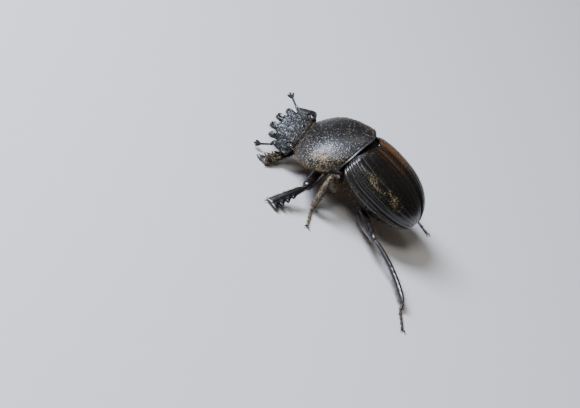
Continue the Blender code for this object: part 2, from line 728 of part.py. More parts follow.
def floor_cutter():
    """A block under z = 0, which leaves a small flat under each foot."""
    mesh = bpy.data.meshes.new("floor_cutter")
    body = bmesh.new()
    bmesh.ops.create_cube(body, size=100 * MM)
    body.to_mesh(mesh)
    body.free()
    block = bpy.data.objects.new("floor_cutter", mesh)
    block.location = (0.0, 0.0, -50 * MM)
    block.hide_render = True
    block.display_type = "WIRE"
    CUTTERS.objects.link(block)
    return block


def main():
    """Builds the whole beetle."""
    cases, trunk_grown = build_trunk()
    shield, prothorax_grown = build_prothorax(trunk_grown[0], cases)
    build_head(shield)
    floor = floor_cutter()
    for leg, side_name in LEG_JOINTS:
        build_leg(leg, side_name, [prothorax_grown] if leg == "front" else trunk_grown, floor)
    bpy.context.view_layer.update()
    for part in [item for item in BEETLE.objects if item.type == "MESH"]:
        settle(part)


main()
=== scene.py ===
"""A life-size dung beetle as a dressed museum model: every plate, limb, claw and bristle of the animal.

Lengths are in mm until a mesh is made. The head points toward -X and the left side toward -Y.
"""

import logging
import math
from dataclasses import dataclass, field
from enum import Enum
from typing import Any, Callable

import bpy
import numpy as np
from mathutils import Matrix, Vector
from mathutils.geometry import delaunay_2d_cdt


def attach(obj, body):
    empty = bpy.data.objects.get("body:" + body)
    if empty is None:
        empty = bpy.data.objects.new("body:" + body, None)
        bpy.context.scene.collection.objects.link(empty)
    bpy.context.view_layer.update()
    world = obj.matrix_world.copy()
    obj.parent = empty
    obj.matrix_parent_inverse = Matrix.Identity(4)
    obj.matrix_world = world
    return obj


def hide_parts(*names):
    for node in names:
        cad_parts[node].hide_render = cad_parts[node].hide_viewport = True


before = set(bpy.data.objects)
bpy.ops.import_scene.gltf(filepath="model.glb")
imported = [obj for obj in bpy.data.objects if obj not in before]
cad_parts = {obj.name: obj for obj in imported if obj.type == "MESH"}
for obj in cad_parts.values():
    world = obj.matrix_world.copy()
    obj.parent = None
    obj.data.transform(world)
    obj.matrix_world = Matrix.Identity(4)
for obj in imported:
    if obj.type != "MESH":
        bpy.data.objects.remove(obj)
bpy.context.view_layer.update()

LOG = logging.getLogger("dung_beetle")
MM = 0.001
PATCH = 0.003          # side of a bristle's patch on the unwrap that its colours are baked on
BODY_GAP = 0.28        # between one plate of the trunk and the next
ELYTRON_THICKNESS = 0.75
UNDER_PLATE_SHADE = 0.95          # how much painted shade a surface gets that lies under another plate: black and dull
UP = np.array((0.0, 0.0, 1.0))

Array = np.ndarray
Point = tuple[float, float, float]
Faces = list[tuple[int, ...]]


class Side(Enum):
    """The beetle's own left and right; the value is the sign of Y on that side."""

    LEFT = -1
    RIGHT = 1

    @property
    def word(self) -> str:
        """The side's name as pieces and nodes spell it."""
        return self.name.lower()


class Pair(Enum):
    """The three pairs of legs."""

    FRONT = "front"
    MIDDLE = "middle"
    HIND = "hind"


# ---- places
def rotation(degrees: float, axis: str) -> Array:
    """The 3 x 3 turn about one axis.

    Args:
        degrees: angle of the turn, by the right-hand rule.
        axis: "X", "Y" or "Z".

    Returns:
        The turn as an array.
    """
    c, s = math.cos(math.radians(degrees)), math.sin(math.radians(degrees))
    return np.array({
        "X": ((1, 0, 0), (0, c, -s), (0, s, c)),
        "Y": ((c, 0, s), (0, 1, 0), (-s, 0, c)),
        "Z": ((c, -s, 0), (s, c, 0), (0, 0, 1)),
    }[axis])


@dataclass(frozen=True)
class Place:
    """Where a body part's own axes stand on the floor's axes (mm)."""

    origin: Array
    turn: Array

    def out(self, points: Any) -> Array:
        """Points of this place, told on the floor's axes."""
        return np.asarray(points, float) @ self.turn.T + self.origin

    def way(self, direction: Any) -> Array:
        """A direction of this place, told on the floor's axes."""
        return self.turn @ np.asarray(direction, float)

    def inner(self, origin: Point, pitch: float = 0.0, yaw: float = 0.0, roll: float = 0.0) -> "Place":
        """A place carried by this one.

        Args:
            origin: where it is, on this place's axes.
            pitch: its turn about Y, in degrees.
            yaw: its turn about Z.
            roll: its turn about X.

        Returns:
            The carried place.
        """
        turn = rotation(pitch, "Y") @ rotation(yaw, "Z") @ rotation(roll, "X")
        return Place(self.out(origin), self.turn @ turn)


FLOOR = Place(np.array((-4.8, 4.0, 0.0)), np.eye(3))
TRUNK = FLOOR.inner((0.0, 0.0, 9.5), pitch=10.0)
PROTHORAX = TRUNK.inner((-0.14, 0.0, 1.06), pitch=-32.8, yaw=0.9, roll=9.8)
HEAD = PROTHORAX.inner((-11.6, 0.0, 0.32), pitch=9.0, yaw=-5.8, roll=22.0)


# ---- grain
class Grain:
    """Seeded lattice noise for the relief of shell, worked out for many points (mm) at once."""

    CELLS = 1 << 13
    PRIMES = (73856093, 19349663, 83492791, 26544357)

    def __init__(self, seed: int) -> None:
        """Draws the table of random numbers."""
        self.table = np.random.default_rng(seed).random(self.CELLS)

    def _draw(self, cell: Array, salt: int) -> Array:
        """A random number from 0 to 1 for each whole-numbered cell."""
        x, y, z, other = self.PRIMES
        key = cell[..., 0] * x ^ cell[..., 1] * y ^ cell[..., 2] * z ^ salt * other
        return self.table[key & (self.CELLS - 1)]

    def waves(self, points: Array, size: float, layers: int = 3) -> Array:
        """Smooth uneven waves.

        Args:
            points: where, in mm.
            size: distance from one wave to the next, in mm.
            layers: how many finer waves ride on the first.

        Returns:
            A height from -1 to 1 for each point.
        """
        total = np.zeros(points.shape[:-1])
        weight, reach = 1.0, 0.0
        for layer in range(layers):
            spot = points / size * 2 ** layer
            low = np.floor(spot).astype(np.int64)
            part = spot - low
            part = part * part * (3 - 2 * part)
            value = np.zeros(points.shape[:-1])
            for corner in range(8):
                step = np.array((corner & 1, corner >> 1 & 1, corner >> 2))
                share = np.prod(np.where(step, part, 1 - part), axis=-1)
                value += share * self._draw(low + step, layer)
            total += weight * (2 * value - 1)
            reach += weight
            weight *= 0.5
        return total / reach

    def pebbles(self, points: Array, pitch: float, radius: float) -> tuple[Array, Array]:
        """Scattered round grains, one to a cell.

        Args:
            points: where, in mm.
            pitch: mean distance between grains, in mm.
            radius: radius of a grain, as a share of the pitch.

        Returns:
            The height over each point, 1 at a grain's middle and 0 between grains, and the random
            number of the nearest grain.
        """
        spot = points / pitch
        low = np.floor(spot).astype(np.int64)
        nearest = np.full(points.shape[:-1], 9.0)
        tag = np.zeros(points.shape[:-1])
        for step in np.ndindex(3, 3, 3):
            cell = low + (np.array(step) - 1)
            offset = np.stack([self._draw(cell, salt) for salt in (11, 23, 37)], axis=-1)
            distance = np.linalg.norm(cell + 0.15 + 0.7 * offset - spot, axis=-1)
            closer = distance < nearest
            nearest = np.where(closer, distance, nearest)
            tag = np.where(closer, self._draw(cell, 51), tag)
        return np.clip(1 - (nearest / radius) ** 2, 0, None), tag


GRAIN = Grain(20)


def ramp(value: Any, low: float, high: float) -> Array:
    """A smooth step from 0 at low to 1 at high; low may be above high for a step down."""
    share = np.clip((np.asarray(value, float) - low) / (high - low), 0.0, 1.0)
    return share * share * (3 - 2 * share)


def bell(value: Any, centre: float, width: float) -> Array:
    """A smooth hump of height 1 at the centre, gone at about twice the width."""
    return np.exp(-((np.asarray(value, float) - centre) / width) ** 2)


def unit(vectors: Array) -> Array:
    """The same directions at length 1."""
    return vectors / np.maximum(np.linalg.norm(vectors, axis=-1, keepdims=True), 1e-9)


def around(count: int) -> Array:
    """The angles of points spread evenly round a ring, as one row."""
    return np.linspace(0, math.tau, count, endpoint=False)[None, :]


def eased_shares(count: int) -> Array:
    """Shares of a length from 0 to 1, closer together toward both ends."""
    return 0.5 - 0.5 * np.cos(math.pi * np.linspace(0, 1, count))


def bowed(near: Array, far: Array, share: Array, bow: Any) -> Array:
    """Points at shares of the way from near to far, on a line whose middle is moved by bow."""
    return near + np.outer(share, far - near) + np.outer(4 * share * (1 - share), bow)


def swelling(share: Array, peak: float, front: float, back: float) -> Array:
    """A curve along a form.

    Args:
        share: places, as shares of the form's length.
        peak: the place where the curve is highest, at 1.
        front: its height at the front end.
        back: its height at the back end.

    Returns:
        The height at each place.
    """
    rise = front + (1 - front) * np.sin(math.pi / 2 * np.minimum(share, peak) / peak)
    return np.where(share < peak, rise, 1 - (1 - back) * ((share - peak) / (1 - peak)) ** 2)


def blunt(share: Array, power: int, least: float) -> Array:
    """How full a rod with rounded ends is at a share of its length; a higher power makes shorter ends."""
    return np.maximum(1 - np.abs(2 * share - 1) ** power, least) ** 0.5


def round_edge(gap: Array, radius: float) -> Array:
    """How full a plate with a rounded edge is at a distance from that edge."""
    return np.sqrt(np.clip(1 - (1 - np.minimum(gap / radius, 1)) ** 2, 0, 1))


# ---- skins
def triangles_of(faces: Faces) -> Array:
    """Splits faces of three or four corners into triangles.

    Args:
        faces: the faces.

    Returns:
        The triangles' corners, (n, 3).
    """
    threes = [face for face in faces if len(face) == 3]
    fours = np.array([face for face in faces if len(face) == 4], int).reshape(-1, 4)
    return np.concatenate((np.array(threes, int).reshape(-1, 3), fours[:, :3], fours[:, [0, 2, 3]]))


def point_normals(points: Array, faces: Faces) -> Array:
    """The outward direction at each point of a skin.

    Args:
        points: the skin's points.
        faces: its faces, turned outward.

    Returns:
        One direction for each point.
    """
    triangles = triangles_of(faces)
    a, b, c = (points[triangles[:, corner]] for corner in range(3))
    lean = np.cross(b - a, c - a)
    total = np.zeros_like(points)
    for corner in range(3):
        np.add.at(total, triangles[:, corner], lean)
    return unit(total)


@dataclass
class Skin:
    """A surface in the making: points (mm, floor's axes), faces, how sunk each point is and how much painted
    shade it gets, and how dusty it is.
    """

    points: Array
    faces: Faces
    hollow: Array
    dust: Array

    def outward(self) -> "Skin":
        """Turns the faces of a closed skin outward.

        Returns:
            The same skin.
        """
        corners = self.points[triangles_of(self.faces)]
        if (corners[:, 0] * np.cross(corners[:, 1], corners[:, 2])).sum() < 0:
            self.faces = [face[::-1] for face in self.faces]
        return self

    @staticmethod
    def joined(skins: list["Skin"]) -> "Skin":
        """Puts closed skins together.

        Args:
            skins: the skins.

        Returns:
            One skin with all their points and faces.
        """
        faces: Faces = []
        start = 0
        for skin in skins:
            faces += [tuple(corner + start for corner in face) for face in skin.faces]
            start += len(skin.points)
        points, hollow, dust = (np.concatenate([getattr(skin, part) for skin in skins])
                                for part in ("points", "hollow", "dust"))
        return Skin(points, faces, hollow, dust)


@dataclass
class Net:
    """A net of points in rows and columns; ring says that each row closes on itself."""

    spots: Array
    ring: bool
    hollow: Array = field(init=False)
    dust: Array = field(init=False)
    normals: Array = field(init=False)

    def __post_init__(self) -> None:
        """Starts without hollows or dust, and finds the outward directions."""
        self.hollow = np.zeros(self.spots.shape[:2])
        self.dust = np.zeros(self.spots.shape[:2])
        self.face_out()

    def face_out(self) -> None:
        """Finds the outward direction at each point: away from the row's middle, or upward on a sheet."""
        along = np.gradient(self.spots, axis=0)
        if self.ring:
            across = np.roll(self.spots, -1, axis=1) - np.roll(self.spots, 1, axis=1)
            out = self.spots - self.spots.mean(axis=1, keepdims=True)
        else:
            across = np.gradient(self.spots, axis=1)
            out = UP
        self.normals = unit(np.cross(across, along))
        if (self.normals * out).sum() < 0:
            self.normals = -self.normals

    def raise_by(self, relief: Array) -> None:
        """Moves each point outward by its relief (mm)."""
        self.spots = self.spots + self.normals * relief[..., None]

    def run(self, axis: int) -> Array:
        """The distance walked along the net.

        Args:
            axis: 0 to walk from the first row, 1 to walk from the first column.

        Returns:
            The distance in mm at each point.
        """
        steps = np.linalg.norm(np.diff(self.spots, axis=axis), axis=-1)
        start = np.zeros_like(steps[:1] if axis == 0 else steps[:, :1])
        return np.concatenate((start, np.cumsum(steps, axis=axis)), axis=axis)

    def quads(self, shift: int = 0) -> Faces:
        """The net's faces.

        Args:
            shift: added to the number of every corner.

        Returns:
            The faces, with four corners each.
        """
        rows, columns = self.spots.shape[:2]
        number = np.arange(rows * columns).reshape(rows, columns) + shift
        if self.ring:
            number = np.concatenate((number, number[:, :1]), axis=1)
        faces = np.stack((number[:-1, :-1], number[:-1, 1:], number[1:, 1:], number[1:, :-1]), axis=-1)
        return [tuple(face) for face in faces.reshape(-1, 4).tolist()]

    def closed(self) -> Skin:
        """Closes a ring net with a fan of faces over each end.

        Returns:
            The closed skin.
        """
        rows, columns = self.spots.shape[:2]
        points = self.spots.reshape(-1, 3)
        faces = self.quads()
        for row in (0, rows - 1):
            pole = len(points)
            points = np.concatenate((points, self.spots[row].mean(axis=0, keepdims=True)))
            corners = [row * columns + column for column in range(columns)]
            fan = [(a, b, pole) for a, b in zip(corners, corners[1:] + corners[:1])]
            faces += [face[::-1] for face in fan] if row == 0 else fan
        hollow, dust = (np.append(part.ravel(), (part[0].mean(), part[-1].mean()))
                        for part in (self.hollow, self.dust))
        return Skin(points, faces, hollow, dust).outward()

    def shell(self, thickness: Array) -> Skin:
        """Makes a sheet net a closed shell, grown inward.

        Args:
            thickness: the shell's thickness at each point, in mm.

        Returns:
            The closed skin.
        """
        rows, columns = self.spots.shape[:2]
        inner = self.spots - self.normals * thickness[..., None]
        points = np.concatenate((self.spots.reshape(-1, 3), inner.reshape(-1, 3)))
        under = rows * columns
        faces = self.quads() + [face[::-1] for face in self.quads(under)]
        number = np.arange(under).reshape(rows, columns)
        rim = np.concatenate((number[0], number[1:, -1], number[-1, -2::-1], number[-2:0:-1, 0])).tolist()
        faces += [(b, a, a + under, b + under) for a, b in zip(rim, rim[1:] + rim[:1])]
        # the inner face gets painted shade: black and dull
        return Skin(points, faces, np.append(self.hollow.ravel(), np.full(under, UNDER_PLATE_SHADE)),
                    np.append(self.dust.ravel(), np.zeros(under))).outward()


def tube(path: Array, half_width: Array, half_depth: Array, wide_way: Any, sides: int = 24) -> Net:
    """A net around a path.

    Args:
        path: the middle line, (n, 3) in mm.
        half_width: half the width at each point of the path.
        half_depth: half the depth at each point.
        wide_way: roughly the direction of the width.
        sides: how many points around.

    Returns:
        The ring net.
    """
    along = unit(np.gradient(path, axis=0))
    wide = np.asarray(wide_way, float)
    across = unit(wide - along * (along @ wide)[:, None])
    other = np.cross(along, across)
    turns = around(sides)[..., None]
    spots = (path[:, None] + across[:, None] * (np.cos(turns) * half_width[:, None, None])
             + other[:, None] * (np.sin(turns) * half_depth[:, None, None]))
    return Net(spots, ring=True)


def spike(root: Any, tip: Any, radius: float, bow: Any = (0.0, 0.0, 0.0), sides: int = 8,
          rings: int = 7) -> Skin:
    """A pointed spine, spur or claw.

    Args:
        root: the middle of its foot, in mm.
        tip: its point.
        radius: its radius at the root.
        bow: how far its middle is moved aside.
        sides: how many points around.
        rings: how many points along.

    Returns:
        The closed skin.
    """
    share = np.linspace(0.0, 1.0, rings)
    root, tip = np.asarray(root, float), np.asarray(tip, float)
    size = radius * np.maximum(1 - share ** 1.6, 0.06)
    wide_way = UP if abs(unit(tip - root)[2]) < 0.9 else np.array((1.0, 0.0, 0.0))
    return tube(bowed(root, tip, share, bow), size, size, wide_way, sides).closed()


def within(rim: Array, points: Array) -> Array:
    """Finds the points inside a closed outline, by how often a line from each one crosses it.

    Args:
        rim: the outline's corners in order, (n, 2).
        points: the points, (n, 2).

    Returns:
        True for each point inside.
    """
    inside = np.zeros(len(points), bool)
    for a, b in zip(rim, np.roll(rim, -1, axis=0)):
        crosses = (a[1] > points[:, 1]) != (b[1] > points[:, 1])
        height = b[1] - a[1] if b[1] != a[1] else 1e-9
        inside ^= crosses & (points[:, 0] < a[0] + (points[:, 1] - a[1]) / height * (b[0] - a[0]))
    return inside


def cut_plate(outline: Array, spacing: float, top: Callable[..., Array],
              under: Callable[..., Array]) -> tuple[Skin, Array]:
    """A flat plate cut to an outline, with a shaped top and underside that meet at its rim.

    Args:
        outline: (n, 2) corners in mm, in order.
        spacing: distance between the points that fill it.
        top: height of the top for x, y and the distance from the rim, all arrays.
        under: height of the underside, the same way.

    Returns:
        The skin on the plate's own axes, and the distance of each of its points from the rim.
    """
    ahead = np.roll(outline, -1, axis=0) - outline
    counts = np.maximum(1, np.round(np.linalg.norm(ahead, axis=1) / spacing)).astype(int)
    rim = np.concatenate([corner + way * (np.arange(count)[:, None] / count)
                          for corner, way, count in zip(outline, ahead, counts)])
    low, high = rim.min(axis=0), rim.max(axis=0)
    xs, ys = np.arange(low[0], high[0], spacing), np.arange(low[1], high[1], spacing * 0.87)
    grid = np.stack(np.meshgrid(xs, ys), axis=-1)
    grid[1::2, :, 0] += spacing / 2
    grid = grid.reshape(-1, 2)
    grid = grid[within(rim, grid)]
    near = np.concatenate([np.linalg.norm(part[:, None] - rim[None], axis=2).min(axis=1)
                           for part in np.array_split(grid, 12)])
    grid, near = grid[near > spacing * 0.45], near[near > spacing * 0.45]
    flat = [Vector(point) for point in np.concatenate((rim, grid)).tolist()]
    edges = [(i, (i + 1) % len(rim)) for i in range(len(rim))]
    spots, _, triangles, sources, _, _ = delaunay_2d_cdt(flat, edges, [], 1, 1e-6)
    xy = np.array([tuple(spot) for spot in spots])
    gap = np.concatenate((np.zeros(len(rim)), near))
    gap = np.array([gap[source[0]] if source else 0.0 for source in sources])
    on_rim = gap <= 0.0
    above = np.column_stack((xy, np.where(on_rim, 0.0, top(xy[:, 0], xy[:, 1], gap))))
    below = np.column_stack((xy, np.where(on_rim, 0.0, under(xy[:, 0], xy[:, 1], gap))))[~on_rim]
    number = np.arange(len(xy))
    number[~on_rim] = len(xy) + np.arange(len(below))
    faces = [tuple(face) for face in triangles]
    faces += [tuple(int(number[corner]) for corner in face[::-1]) for face in triangles]
    points = np.concatenate((above, below))
    skin = Skin(points, faces, np.zeros(len(points)), np.zeros(len(points)))
    return skin.outward(), np.concatenate((gap, gap[~on_rim]))


def rounded(corners: Any, times: int = 2, keep: float = 0.22) -> Array:
    """Cuts the corners of a closed outline, so that it runs in curves.

    Args:
        corners: the outline's corners in order, (n, 2).
        times: how often its corners are cut.
        keep: how far along each side a cut begins, as a share of the side.

    Returns:
        The curved outline's corners.
    """
    outline = np.asarray(corners, float)
    for _ in range(times):
        ahead = np.roll(outline, -1, axis=0)
        outline = np.stack((outline + (ahead - outline) * keep, ahead + (outline - ahead) * keep),
                           axis=1).reshape(-1, 2)
    return outline


# ---- finishes
def linear(colour: str) -> tuple[float, float, float, float]:
    """An sRGB hex colour as linear red, green, blue and alpha."""
    parts = [int(colour[i:i + 2], 16) / 255 for i in (1, 3, 5)]
    return (*(part / 12.92 if part <= 0.04045 else ((part + 0.055) / 1.055) ** 2.4 for part in parts), 1.0)


def add_node(tree: bpy.types.NodeTree, kind: str, settings: dict[Any, Any] | None = None,
             links: dict[Any, bpy.types.NodeSocket] | None = None) -> bpy.types.Node:
    """Adds one node with its settings and with what feeds it.

    Args:
        tree: the material's node tree.
        kind: the node's type name.
        settings: socket name or number, or the node's own property, to its value.
        links: socket name or number to the socket that feeds it.

    Returns:
        The node.
    """
    node = tree.nodes.new(kind)
    for key, value in (settings or {}).items():
        if isinstance(key, int) or key in node.inputs:
            node.inputs[key].default_value = value
        else:
            setattr(node, key, value)
    for key, source in (links or {}).items():
        tree.links.new(source, node.inputs[key])
    return node


@dataclass(frozen=True)
class Finish:
    """What all finishes share: a name, and a material that each one dresses in its own way."""

    name: str

    def build(self) -> bpy.types.Material:
        """Makes the finish's material.

        Returns:
            The material.
        """
        material = bpy.data.materials.new(self.name)
        material.use_nodes = True
        self.dress(material.node_tree, material.node_tree.nodes["Principled BSDF"])
        return material

    def dress(self, tree: bpy.types.NodeTree, shader: bpy.types.Node) -> None:
        """Gives the shader its colours, polish and relief; each finish has its own way.

        Args:
            tree: the material's node tree.
            shader: its shader.
        """
        raise NotImplementedError


EARTH_ROUGHNESS = 0.9        # dry earth has no polish
EARTH_IN_HOLLOWS = 0.14      # how much sooner earth lies in a hollow than on a top
EARTH_WHERE_DUSTY = 0.33     # how much sooner it lies where the skin's dust is thick
EARTH_BEGINS, EARTH_COVERS = 0.79, 0.92


@dataclass(frozen=True)
class Chitin(Finish):
    """Hardened insect shell: a smooth dark glaze over grown relief, with dry earth caught in its hollows."""

    shell: str
    tone: str
    roughness: float
    grain: float                 # mm from one fine bump to the next
    grain_depth: float           # mm
    ior: float = 1.56            # chitin
    crest: str = "#3a3229"       # painted glint on the tops of the relief, partly a film of dust
    crested: float = 0.0         # how much of that the tops show
    dust: str = "#93805e"
    dust_grain: float = 0.32     # mm, size of the clots of earth
    mottle: float = 2.4          # mm
    coat: float = 0.0            # the wet-looking outer glaze of a polished plate
    coat_roughness: float = 0.2

    def dress(self, tree: bpy.types.NodeTree, shader: bpy.types.Node) -> None:
        """Lays tone, painted glint on the tops, painted shade in the hollows, earth and fine shagreen over
        each other.

        Args:
            tree: the material's node tree.
            shader: its shader.
        """
        here = add_node(tree, "ShaderNodeTexCoord").outputs["Object"]
        hollow, dust = (add_node(tree, "ShaderNodeAttribute", {"attribute_name": name}).outputs["Fac"]
                        for name in ("hollow", "dust"))
        # slow change of tone over the plate, as pigment and wear give it
        mottle = add_node(tree, "ShaderNodeTexNoise", {"Scale": 1 / (self.mottle * MM), "Detail": 3.0},
                          {"Vector": here}).outputs["Fac"]
        toned = add_node(tree, "ShaderNodeMix",
                         {"data_type": "RGBA", 6: linear(self.shell), 7: linear(self.tone)},
                         {0: mottle}).outputs[2]
        # painted glint: the tops of the relief are paler and carry a film of dust, some more than others
        clots = add_node(tree, "ShaderNodeTexNoise",
                         {"Scale": 1 / (self.dust_grain * MM), "Detail": 2.0, "Roughness": 0.6},
                         {"Vector": here}).outputs["Fac"]
        top = add_node(tree, "ShaderNodeMapRange", {"From Min": 0.45, "From Max": 0.0},
                       {"Value": hollow}).outputs["Result"]
        wear_and_painted_light = add_node(tree, "ShaderNodeMapRange",
                        {"From Min": 0.36, "From Max": 0.62, "To Max": self.crested},
                        {"Value": clots}).outputs["Result"]
        painted_glint_on_tops = add_node(tree, "ShaderNodeMath", {"operation": "MULTIPLY"}, {0: top, 1: wear_and_painted_light}).outputs[0]
        crested = add_node(tree, "ShaderNodeMix", {"data_type": "RGBA", 7: linear(self.crest)},
                           {0: painted_glint_on_tops, 6: toned}).outputs[2]
        # painted shade: the floor of each hollow, and each surface under another plate, is darker, because
        # light and polish don't reach it
        shade = add_node(tree, "ShaderNodeMapRange", {"To Min": 1.0, "To Max": 0.2},
                         {"Value": hollow}).outputs["Result"]
        shaded = add_node(tree, "ShaderNodeVectorMath", {"operation": "SCALE"},
                          {0: crested, "Scale": shade}).outputs["Vector"]
        # earth lies in clots, thickest in the hollows
        held = add_node(tree, "ShaderNodeMath", {"operation": "MULTIPLY_ADD", 1: EARTH_IN_HOLLOWS},
                        {0: hollow, 2: clots}).outputs[0]
        heap = add_node(tree, "ShaderNodeMath", {"operation": "MULTIPLY_ADD", 1: EARTH_WHERE_DUSTY},
                        {0: dust, 2: held}).outputs[0]
        lying = add_node(tree, "ShaderNodeMapRange",
                         {"From Min": EARTH_BEGINS, "From Max": EARTH_COVERS, "To Max": 0.9},
                         {"Value": heap}).outputs["Result"]
        colour = add_node(tree, "ShaderNodeMix", {"data_type": "RGBA", 7: linear(self.dust)},
                          {0: lying, 6: shaded}).outputs[2]
        tree.links.new(colour, shader.inputs["Base Color"])
        # polish varies a little over the plate, hollows are matt, and earth has no polish
        uneven = add_node(tree, "ShaderNodeMapRange",
                          {"To Min": self.roughness - 0.07, "To Max": self.roughness + 0.09},
                          {"Value": mottle}).outputs["Result"]
        matt = add_node(tree, "ShaderNodeMapRange", {"From Min": 0.5, "To Max": 0.9},
                        {"Value": hollow}).outputs["Result"]
        unpolished = add_node(tree, "ShaderNodeMath", {"operation": "MAXIMUM"},
                              {0: lying, 1: matt}).outputs[0]
        rough = add_node(tree, "ShaderNodeMix", {"data_type": "FLOAT", 3: EARTH_ROUGHNESS},
                         {0: unpolished, 2: uneven}).outputs[0]
        tree.links.new(rough, shader.inputs["Roughness"])
        # fine shagreen below what the mesh carries; it breaks up the highlights
        fine = add_node(tree, "ShaderNodeTexNoise",
                        {"Scale": 1 / (self.grain * MM), "Detail": 3.0, "Roughness": 0.65},
                        {"Vector": here}).outputs["Fac"]
        clotted = add_node(tree, "ShaderNodeMath", {"operation": "MULTIPLY_ADD", 1: 1.5},
                           {0: lying, 2: fine}).outputs[0]
        bump = add_node(tree, "ShaderNodeBump", {"Distance": self.grain_depth * MM, "Strength": 1.0},
                        {"Height": clotted}).outputs["Normal"]
        tree.links.new(bump, shader.inputs["Normal"])
        shader.inputs["IOR"].default_value = self.ior
        shader.inputs["Coat Weight"].default_value = self.coat
        shader.inputs["Coat Roughness"].default_value = self.coat_roughness


@dataclass(frozen=True)
class FacetedEye(Finish):
    """A compound eye: black, polished cornea with a net of facets."""

    name: str = "compound_eye_cornea"
    pigment: str = "#0c0807"
    rim: str = "#2a1a12"         # the paler line round each facet
    facet: float = 0.06          # mm; the real ones are about 0.03 mm, and are drawn coarser to show
    bulge: float = 0.006         # mm

    def dress(self, tree: bpy.types.NodeTree, shader: bpy.types.Node) -> None:
        """Draws the facets in colour and relief under a wet glaze.

        Args:
            tree: the material's node tree.
            shader: its shader.
        """
        here = add_node(tree, "ShaderNodeTexCoord").outputs["Object"]
        cell = add_node(tree, "ShaderNodeTexVoronoi", {"Scale": 1 / (self.facet * MM)},
                        {"Vector": here}).outputs["Distance"]
        tint = add_node(tree, "ShaderNodeMix",
                        {"data_type": "RGBA", 6: linear(self.rim), 7: linear(self.pigment)},
                        {0: cell}).outputs[2]
        tree.links.new(tint, shader.inputs["Base Color"])
        bump = add_node(tree, "ShaderNodeBump", {"Distance": self.bulge * MM, "invert": True},
                        {"Height": cell}).outputs["Normal"]
        tree.links.new(bump, shader.inputs["Normal"])
        shader.inputs["Roughness"].default_value = 0.12
        shader.inputs["IOR"].default_value = 1.5
        shader.inputs["Coat Weight"].default_value = 1.0
        shader.inputs["Coat Roughness"].default_value = 0.04


@dataclass(frozen=True)
class Bristle(Finish):
    """Stiff hairs of the same stuff as the shell, so thin that they look red-brown."""

    dark: str
    pale: str
    patch: float = 0.9           # mm, size of the patches of darker and paler hairs

    def dress(self, tree: bpy.types.NodeTree, shader: bpy.types.Node) -> None:
        """Mixes dark and pale hairs in patches.

        Args:
            tree: the material's node tree.
            shader: its shader.
        """
        here = add_node(tree, "ShaderNodeTexCoord").outputs["Object"]
        patch = add_node(tree, "ShaderNodeTexNoise", {"Scale": 1 / (self.patch * MM), "Detail": 2.0},
                         {"Vector": here}).outputs["Fac"]
        spread = add_node(tree, "ShaderNodeMapRange", {"From Min": 0.3, "From Max": 0.7},
                          {"Value": patch}).outputs["Result"]
        tint = add_node(tree, "ShaderNodeMix",
                        {"data_type": "RGBA", 6: linear(self.dark), 7: linear(self.pale)},
                        {0: spread}).outputs[2]
        tree.links.new(tint, shader.inputs["Base Color"])
        shader.inputs["Roughness"].default_value = 0.42
        shader.inputs["IOR"].default_value = 1.55


@dataclass(frozen=True)
class StudioPaper(Finish):
    """A seamless sheet of pale matt background paper."""

    name: str = "studio_paper"
    colour: str = "#dcdad6"

    def dress(self, tree: bpy.types.NodeTree, shader: bpy.types.Node) -> None:
        """Gives the plain paper its colour and its matt surface.

        Args:
            tree: the material's node tree.
            shader: its shader.
        """
        shader.inputs["Base Color"].default_value = linear(self.colour)
        shader.inputs["Roughness"].default_value = 0.9


HEAD_SHELL = Chitin("wrinkled_head_chitin", "#0a0a0d", "#050506", 0.19, 0.10, 0.003, crest="#34353b",
                    crested=0.3, dust_grain=0.24)
PRONOTUM_SHELL = Chitin("granulate_pronotum_chitin", "#0d0e13", "#07080a", 0.32, 0.12, 0.005,
                        crest="#958a74", crested=0.85, coat=0.1, coat_roughness=0.3, dust="#a08659",
                        dust_grain=0.22)
WING_CASE_SHELL = Chitin("smooth_wing_case_chitin", "#0b0a0a", "#140e09", 0.26, 0.12, 0.005,
                         crest="#2b2318", crested=0.3, coat=0.10, coat_roughness=0.15, dust="#86734e",
                         dust_grain=0.22)
UNDERSIDE_SHELL = Chitin("punctured_underside_chitin", "#17110e", "#0d0b0a", 0.45, 0.12, 0.012,
                         dust_grain=0.4)
LEG_SHELL = Chitin("polished_leg_chitin", "#101013", "#161210", 0.27, 0.14, 0.006, coat=0.4,
                   coat_roughness=0.12, dust_grain=0.3)
FOOT_SHELL = Chitin("brown_foot_chitin", "#2b1f17", "#19120e", 0.45, 0.08, 0.006, dust_grain=0.22)
FEELER_SHELL = Chitin("brown_feeler_chitin", "#150e0b", "#0e0a08", 0.34, 0.08, 0.004, coat=0.2)
CLUB_SHELL = Chitin("downy_club_chitin", "#130f0d", "#0d0a09", 0.62, 0.05, 0.006)
EYE = FacetedEye()
BRISTLE = Bristle("red_brown_bristles", "#24120a", "#6d4524")
PALE_BRISTLE = Bristle("dusty_margin_bristles", "#3a2415", "#9a7f58")
DOWN = Bristle("short_club_down", "#3a2a20", "#6f5a48")
PAPER = StudioPaper()

_MATERIALS: dict[str, bpy.types.Material] = {}


def material_of(finish: Finish) -> bpy.types.Material:
    """The material of a finish, made once."""
    if finish.name not in _MATERIALS:
        _MATERIALS[finish.name] = finish.build()
    return _MATERIALS[finish.name]


# ---- pieces
def add_to_scene(name: str, data: Any) -> bpy.types.Object:
    """An object in the scene for a mesh, a lamp or a camera."""
    item = bpy.data.objects.new(name, data)
    bpy.context.scene.collection.objects.link(item)
    return item


def mesh_object(name: str, points: Array, faces: Faces, finish: Finish) -> bpy.types.Object:
    """Makes a smooth-shaded object.

    Args:
        name: its name.
        points: its points, in mm.
        faces: its faces.
        finish: its finish.

    Returns:
        The object.
    """
    mesh = bpy.data.meshes.new(name)
    mesh.from_pydata((points * MM).tolist(), [], faces)
    mesh.shade_smooth()
    mesh.materials.append(material_of(finish))
    return add_to_scene(name, mesh)


